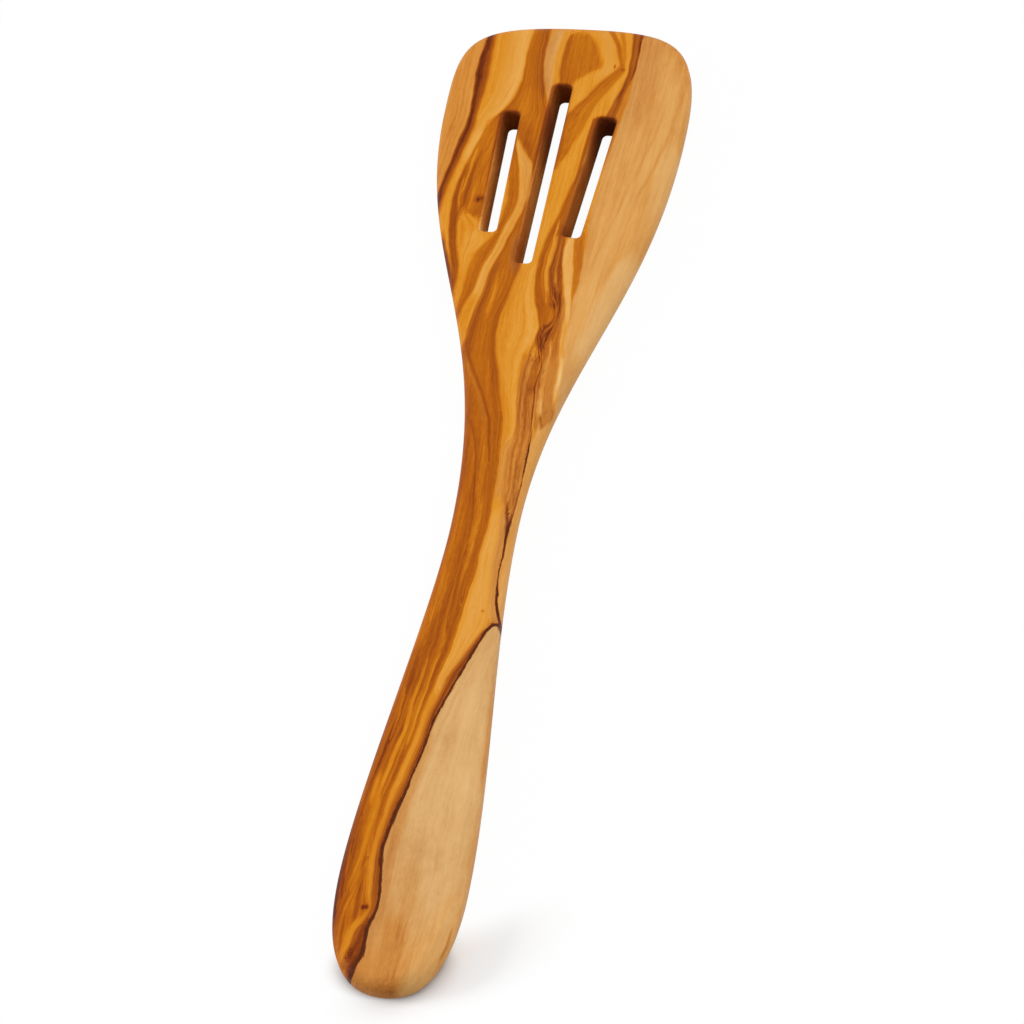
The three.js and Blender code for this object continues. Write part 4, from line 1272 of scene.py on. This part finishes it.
def grained_tone(tree, grain, along_board, sap, fibres, pores):
    """The painted tone plus the patterns of the grain, each times its amount, with less of them in
    the sapwood, and with growth lines and layers only in brown heartwood."""
    tone = painted(tree, "tone")
    liveliness = eased(tree, sap, (0.0, 1.0), 1.0, QUIET_SAPWOOD)
    for kind in (STREAKS, THREADS, FIBRES, FLECKS):
        found = fibres if kind is FIBRES else noise(tree, grain, kind)
        tone = plus(tree, tone, times(tree, found, kind["amount"]), liveliness)
    brown = eased(tree, tone, BROWN_FROM)
    brown_heart = times(tree, maths(tree, "SUBTRACT", 1.0, sap), brown)
    rings = maths(tree, "ABSOLUTE", noise(tree, grain, RINGS))
    ring_lines = times(tree, eased(tree, rings, RING_EDGE, 1.0, 0.0), brown_heart)
    tone = plus(tree, tone, ring_lines, RINGS["amount"])
    layers = eased(tree, noise(tree, grain, LAYERS), LAYER_EDGE, -1.0, 1.0)
    contrast = eased(tree, along_board, HANDLE_TO_BLADE, *LAYERS["amount"])
    tone = plus(tree, tone, layers, times(tree, contrast, brown_heart))
    cloudy = plus(tree, CLOUDS["amount"], sap, CLOUDIER_SAPWOOD)
    tone = plus(tree, tone, noise(tree, grain, CLOUDS), cloudy)
    tone = plus(tree, tone, noise(tree, grain, SPECKLES), times(tree, sap, SPECKLES["amount"]))
    tone = plus(tree, tone, pores, PORES["amount"])
    spots = eased(tree, noise(tree, grain, BURL_SPOTS), BURL_EDGE, *BURL_SPOTS["amount"])
    return plus(tree, tone, spots, painted(tree, "burl"))


print(f"the streaks are {STREAKS['stretch'][0] / STREAKS['stretch'][1]:.0f} times as long as wide")

# %% [markdown]
# ### Mixing the wood
# Last come the darker end grain, the painted shade and light of the slots, and the ragged dark line.
# The line could be a band too, but it is thinner than the mesh is fine, so the shader draws it from
# the painted distance to it, and noise frays its edges. Fibres and pores also give the polish its
# small unevenness, and the slot walls are dull.

# %% Mix the olive wood
HEARTWOOD = [
    (0.00, (246, 194, 112)), (0.15, (233, 167, 74)), (0.30, (225, 149, 42)), (0.42, (213, 129, 19)),
    (0.56, (187, 101, 11)), (0.68, (164, 82, 10)), (0.80, (134, 58, 9)), (0.90, (102, 40, 8)),
    (1.00, (48, 22, 10))]
SAPWOOD = [
    (0.00, (249, 210, 153)), (0.15, (235, 191, 132)), (0.32, (220, 172, 111)), (0.45, (203, 149, 88)),
    (0.60, (178, 117, 60)), (0.75, (145, 82, 37)), (0.90, (100, 52, 24)), (1.00, (52, 26, 14))]
END_GRAIN_TONE = 0.05
SLOT_SHADE_TONE = 0.94
LINE_TONE = 0.94
LINE_EDGE = (0.7, 1.6)
ROUGHNESS = 0.47
FIBRE_ROUGHNESS = 0.16
SLOT_ROUGHNESS = 0.4
PORE_DEPTH = 0.8
RELIEF_STRENGTH = 0.35
RELIEF_HEIGHT = 0.05 * MM
SHEEN = 0.07


def towards_tone(tree, tone, goal, share):
    """The tone moved towards a goal by a share of the way."""
    return plus(tree, tone, share, maths(tree, "SUBTRACT", goal, tone))


def line_share(tree, grain):
    """1 on the dark line and 0 beside it: the painted distance, frayed by noise, over half of the
    painted width, which swells and shrinks, times the painted ink."""
    frayed = plus(tree, painted(tree, "gap"), noise(tree, grain, RAGGED), RAGGED["amount"])
    swelling = plus(tree, 1.0, noise(tree, grain, SWELLING), SWELLING["amount"])
    half = times(tree, painted(tree, "line_half"), swelling)
    in_line = maths(tree, "DIVIDE", maths(tree, "ABSOLUTE", frayed), half)
    return times(tree, eased(tree, in_line, LINE_EDGE, 1.0, 0.0), painted(tree, "line_ink"))


def olive_wood():
    """The oiled wood: painted tone, grain, painted shade of the slots and dark line, two colour
    ramps, sheen and relief.
    """
    material = bpy.data.materials.new("olive_wood")
    material.use_nodes = True
    tree = material.node_tree
    shader = tree.nodes["Principled BSDF"]
    grain, along_board = grain_space(tree)
    sap = painted(tree, "sap")
    fibres = noise(tree, grain, FIBRES)
    pores = eased(tree, noise(tree, grain, PORES), PORE_EDGE)
    tone = grained_tone(tree, grain, along_board, sap, fibres, pores)
    tone = plus(tree, tone, painted(tree, "end_grain"), END_GRAIN_TONE)
    # Painted shade of the slots' rims and walls; a share below 0 is painted light
    tone = towards_tone(tree, tone, SLOT_SHADE_TONE, painted(tree, "slot_wall"))
    tone = towards_tone(tree, tone, LINE_TONE, line_share(tree, grain))
    blend = tree.nodes.new("ShaderNodeMix")
    blend.data_type = "RGBA"
    put(tree, blend.inputs["Factor"], sap)
    put(tree, blend.inputs["A"], ramp(tree, tone, HEARTWOOD))
    put(tree, blend.inputs["B"], ramp(tree, tone, SAPWOOD))
    put(tree, shader.inputs["Base Color"], blend.outputs["Result"])
    rough = plus(tree, ROUGHNESS, fibres, FIBRE_ROUGHNESS)
    rough = plus(tree, rough, painted(tree, "in_slot"), SLOT_ROUGHNESS)
    put(tree, shader.inputs["Roughness"], rough)
    shader.inputs["Specular IOR Level"].default_value = SHEEN
    relief = tree.nodes.new("ShaderNodeBump")
    relief.inputs["Strength"].default_value = RELIEF_STRENGTH
    relief.inputs["Distance"].default_value = RELIEF_HEIGHT
    put(tree, relief.inputs["Height"], plus(tree, fibres, pores, -PORE_DEPTH))
    put(tree, shader.inputs["Normal"], relief.outputs["Normal"])
    return material


mesh.materials.append(olive_wood())
print(f"the wood has {len(mesh.materials[0].node_tree.nodes)} nodes")

# %% [markdown]
# ## The place it lies on
# A plain pale floor carries the spatula. To the camera it is white like the paper of a product
# photograph. Round the handle's end the wood's soft shadow shows in full, and where wood and floor
# meet, ambient occlusion paints more shade into the floor's colour. Elsewhere the shadow is faint. The
# light that the floor throws back is that of an ordinary pale table.

# %% Lay the floor
FLOOR_HALF = 6.0
FLOOR_GLOW = 0.03
FLOOR_COLOUR = (0.42, 0.42, 0.42, 1)
SHADOW = {
    "middle": (0.023, -0.1365, 0.0), "radii": (0.036, 0.0098), "turn": math.radians(31),
    "edge": (0.3, 1.4)}
CONTACT = {
    "middle": (0.0015, -0.1402, 0.0), "radii": (0.0152, 0.0092), "turn": 0.0, "edge": (0.8, 1.3)}
CONTACT_REACH = 0.009
CONTACT_DARK = 0.45
SHADOW_HIDDEN = 0.96


def outside_of(tree, ellipse):
    """0 inside an ellipse on the floor and 1 outside it, eased between two shares of its radii."""
    zone = tree.nodes.new("ShaderNodeMapping")
    zone.vector_type = "TEXTURE"
    zone.inputs["Location"].default_value = ellipse["middle"]
    zone.inputs["Rotation"].default_value = (0, 0, ellipse["turn"])
    zone.inputs["Scale"].default_value = (*ellipse["radii"], 1)
    put(tree, zone.inputs["Vector"], tree.nodes.new("ShaderNodeTexCoord").outputs["Object"])
    away = tree.nodes.new("ShaderNodeVectorMath")
    away.operation = "LENGTH"
    put(tree, away.inputs[0], zone.outputs["Vector"])
    return eased(tree, away.outputs["Value"], ellipse["edge"])


def seen_directly(tree):
    """1 for the camera's rays and for those that a mirror or glass passes on, and 0 for the rest."""
    path = tree.nodes.new("ShaderNodeLightPath")
    seen = maths(tree, "MAXIMUM", path.outputs["Is Camera Ray"], path.outputs["Is Glossy Ray"])
    return maths(tree, "MAXIMUM", seen, path.outputs["Is Transmission Ray"])


def joined(tree, kind, *values):
    """Shaders joined by a node: a mix takes a share and two shaders, a sum takes two shaders."""
    node = tree.nodes.new(kind)
    for socket, value in zip(node.inputs, values):
        put(tree, socket, value)
    return node.outputs[0]


def paper_white():
    """White for the camera and for mirrors, with the wood's shadow near the handle's end: a glow
    plus a diffuse share that add up to white where the floor is fully lit. The light that the floor
    throws back to the wood comes from a plain diffuse floor."""
    material = bpy.data.materials.new("pale_floor")
    material.use_nodes = True
    tree = material.node_tree
    tree.nodes.clear()
    bounce = tree.nodes.new("ShaderNodeBsdfDiffuse")
    bounce.inputs["Color"].default_value = FLOOR_COLOUR
    # Ambient occlusion darkens the floor's colour round the handle's end: painted contact shade on top of
    # the real shadow
    nearness = tree.nodes.new("ShaderNodeAmbientOcclusion")
    nearness.inputs["Distance"].default_value = CONTACT_REACH
    clear_of_contact = outside_of(tree, CONTACT)
    dark = times(tree, maths(tree, "SUBTRACT", 1.0, clear_of_contact), CONTACT_DARK)
    openness = maths(tree, "POWER", nearness.outputs["AO"], dark)
    lit = tree.nodes.new("ShaderNodeBsdfDiffuse")
    put(tree, lit.inputs["Color"], openness)
    glow = tree.nodes.new("ShaderNodeEmission")
    put(tree, glow.inputs["Strength"], times(tree, openness, FLOOR_GLOW))
    shaded = joined(tree, "ShaderNodeAddShader", lit.outputs[0], glow.outputs[0])
    white = tree.nodes.new("ShaderNodeEmission")
    clear_of_both = maths(tree, "MINIMUM", outside_of(tree, SHADOW), clear_of_contact)
    hidden = times(tree, clear_of_both, SHADOW_HIDDEN)
    paper = joined(tree, "ShaderNodeMixShader", hidden, shaded, white.outputs[0])
    surface = joined(tree, "ShaderNodeMixShader", seen_directly(tree), bounce.outputs[0], paper)
    put(tree, tree.nodes.new("ShaderNodeOutputMaterial").inputs["Surface"], surface)
    return material


floor_mesh = bpy.data.meshes.new("floor")
square = np.array([(-1, -1, 0), (1, -1, 0), (1, 1, 0), (-1, 1, 0)]) * FLOOR_HALF
floor_mesh.from_pydata(square.tolist(), [], [(0, 1, 2, 3)])
floor = bpy.data.objects.new("floor", floor_mesh)
floor_mesh.materials.append(paper_white())
bpy.context.scene.collection.objects.link(floor)
print("the floor lies under the back face")

# %% [markdown]
# ## Light and camera
# The photograph was taken in a light tent: light comes from all over, more of it from the right, and
# less from beyond the handle's end, which stays dark. A world whose brightness changes gently with
# the direction does that, and one soft lamp, low on the left, gives the shadow its side. The camera
# stands far away with a long lens, turned and rolled until the spatula lies as it does in the
# photograph.

# %% Light the scene
WORLD_EVEN = 0.66
WORLD_GLOW = 0.9
GLOW_SIDE = Vector((0.90, 0.15, 0.40)).normalized()
GLOW_EDGE = (0.1, 0.95)
WORLD_SHADE = 0.5
SHADE_SIDE = Vector((0.0, -1.0, 0.1)).normalized()
SHADE_EDGE = (-0.1, 0.85)
LAMP_PLACE = Vector((-1.10, -0.25, 0.45))
LAMP_SIZE = 0.4
LAMP_POWER = 6.5


def towards_side(tree, side):
    """How far a direction of the world points to one side: the dot product of the two."""
    node = tree.nodes.new("ShaderNodeVectorMath")
    node.operation = "DOT_PRODUCT"
    put(tree, node.inputs[0], tree.nodes.new("ShaderNodeTexCoord").outputs["Generated"])
    node.inputs[1].default_value = side
    return node.outputs["Value"]


def light_tent():
    """A world that lights the wood by direction, and that the camera sees as plain white."""
    world = bpy.data.worlds.new("light_tent")
    world.use_nodes = True
    tree = world.node_tree
    tree.nodes.clear()
    glow = eased(tree, towards_side(tree, GLOW_SIDE), GLOW_EDGE, WORLD_EVEN, WORLD_EVEN + WORLD_GLOW)
    shade = eased(tree, towards_side(tree, SHADE_SIDE), SHADE_EDGE, 1.0, 1.0 - WORLD_SHADE)
    tent, paper = (tree.nodes.new("ShaderNodeBackground") for _ in range(2))
    for background in (tent, paper):
        background.inputs["Color"].default_value = (1, 1, 1, 1)
    put(tree, tent.inputs["Strength"], times(tree, glow, shade))
    surface = joined(
        tree, "ShaderNodeMixShader", seen_directly(tree), tent.outputs[0], paper.outputs[0])
    put(tree, tree.nodes.new("ShaderNodeOutputWorld").inputs["Surface"], surface)
    return world


bpy.context.scene.world = light_tent()
lamp_light = bpy.data.lights.new("soft_lamp", "AREA")
lamp_light.size = LAMP_SIZE
lamp_light.energy = LAMP_POWER
lamp = bpy.data.objects.new("soft_lamp", lamp_light)
lamp.location = LAMP_PLACE
lamp.rotation_euler = LAMP_PLACE.to_track_quat("Z", "Y").to_euler()
bpy.context.scene.collection.objects.link(lamp)
print(f"the lamp is {LAMP_PLACE.length:.2f} m away")

# %% Set up the camera
PICTURE_SIZE = 1024
SENSOR_WIDTH = 36.0
VIEW_TURN = math.radians(25.29)
VIEW_HEIGHT = math.radians(55.24)
VIEW_ROLL = math.radians(-17.91)
VIEW_DISTANCE = 2.5
PIXELS_PER_MM = 3.81582
KNOWN_PIXEL = (500, 513)
KNOWN_PLACE = Vector((3.697, -1.426, 0.5)) * MM

towards = Vector((
    math.sin(VIEW_TURN) * math.cos(VIEW_HEIGHT), -math.cos(VIEW_TURN) * math.cos(VIEW_HEIGHT),
    math.sin(VIEW_HEIGHT)))
level = Vector((math.cos(VIEW_TURN), math.sin(VIEW_TURN), 0))
upright = towards.cross(level)
picture_right = math.cos(VIEW_ROLL) * level + math.sin(VIEW_ROLL) * upright
picture_up = -math.sin(VIEW_ROLL) * level + math.cos(VIEW_ROLL) * upright
pixel = MM / PIXELS_PER_MM
half_picture = PICTURE_SIZE / 2
aim = KNOWN_PLACE + picture_right * (half_picture - KNOWN_PIXEL[0]) * pixel
aim += picture_up * (KNOWN_PIXEL[1] - half_picture) * pixel
camera_data = bpy.data.cameras.new("camera")
camera_data.sensor_width = SENSOR_WIDTH
camera_data.lens = VIEW_DISTANCE / (PICTURE_SIZE * pixel) * SENSOR_WIDTH
camera = bpy.data.objects.new("camera", camera_data)
axes = Matrix((picture_right, picture_up, towards)).transposed()
camera.matrix_world = Matrix.Translation(aim + towards * VIEW_DISTANCE) @ axes.to_4x4()
bpy.context.scene.collection.objects.link(camera)
bpy.context.scene.camera = camera
bpy.context.scene.view_settings.view_transform = "Standard"
print(f"the lens is {camera_data.lens:.0f} mm")
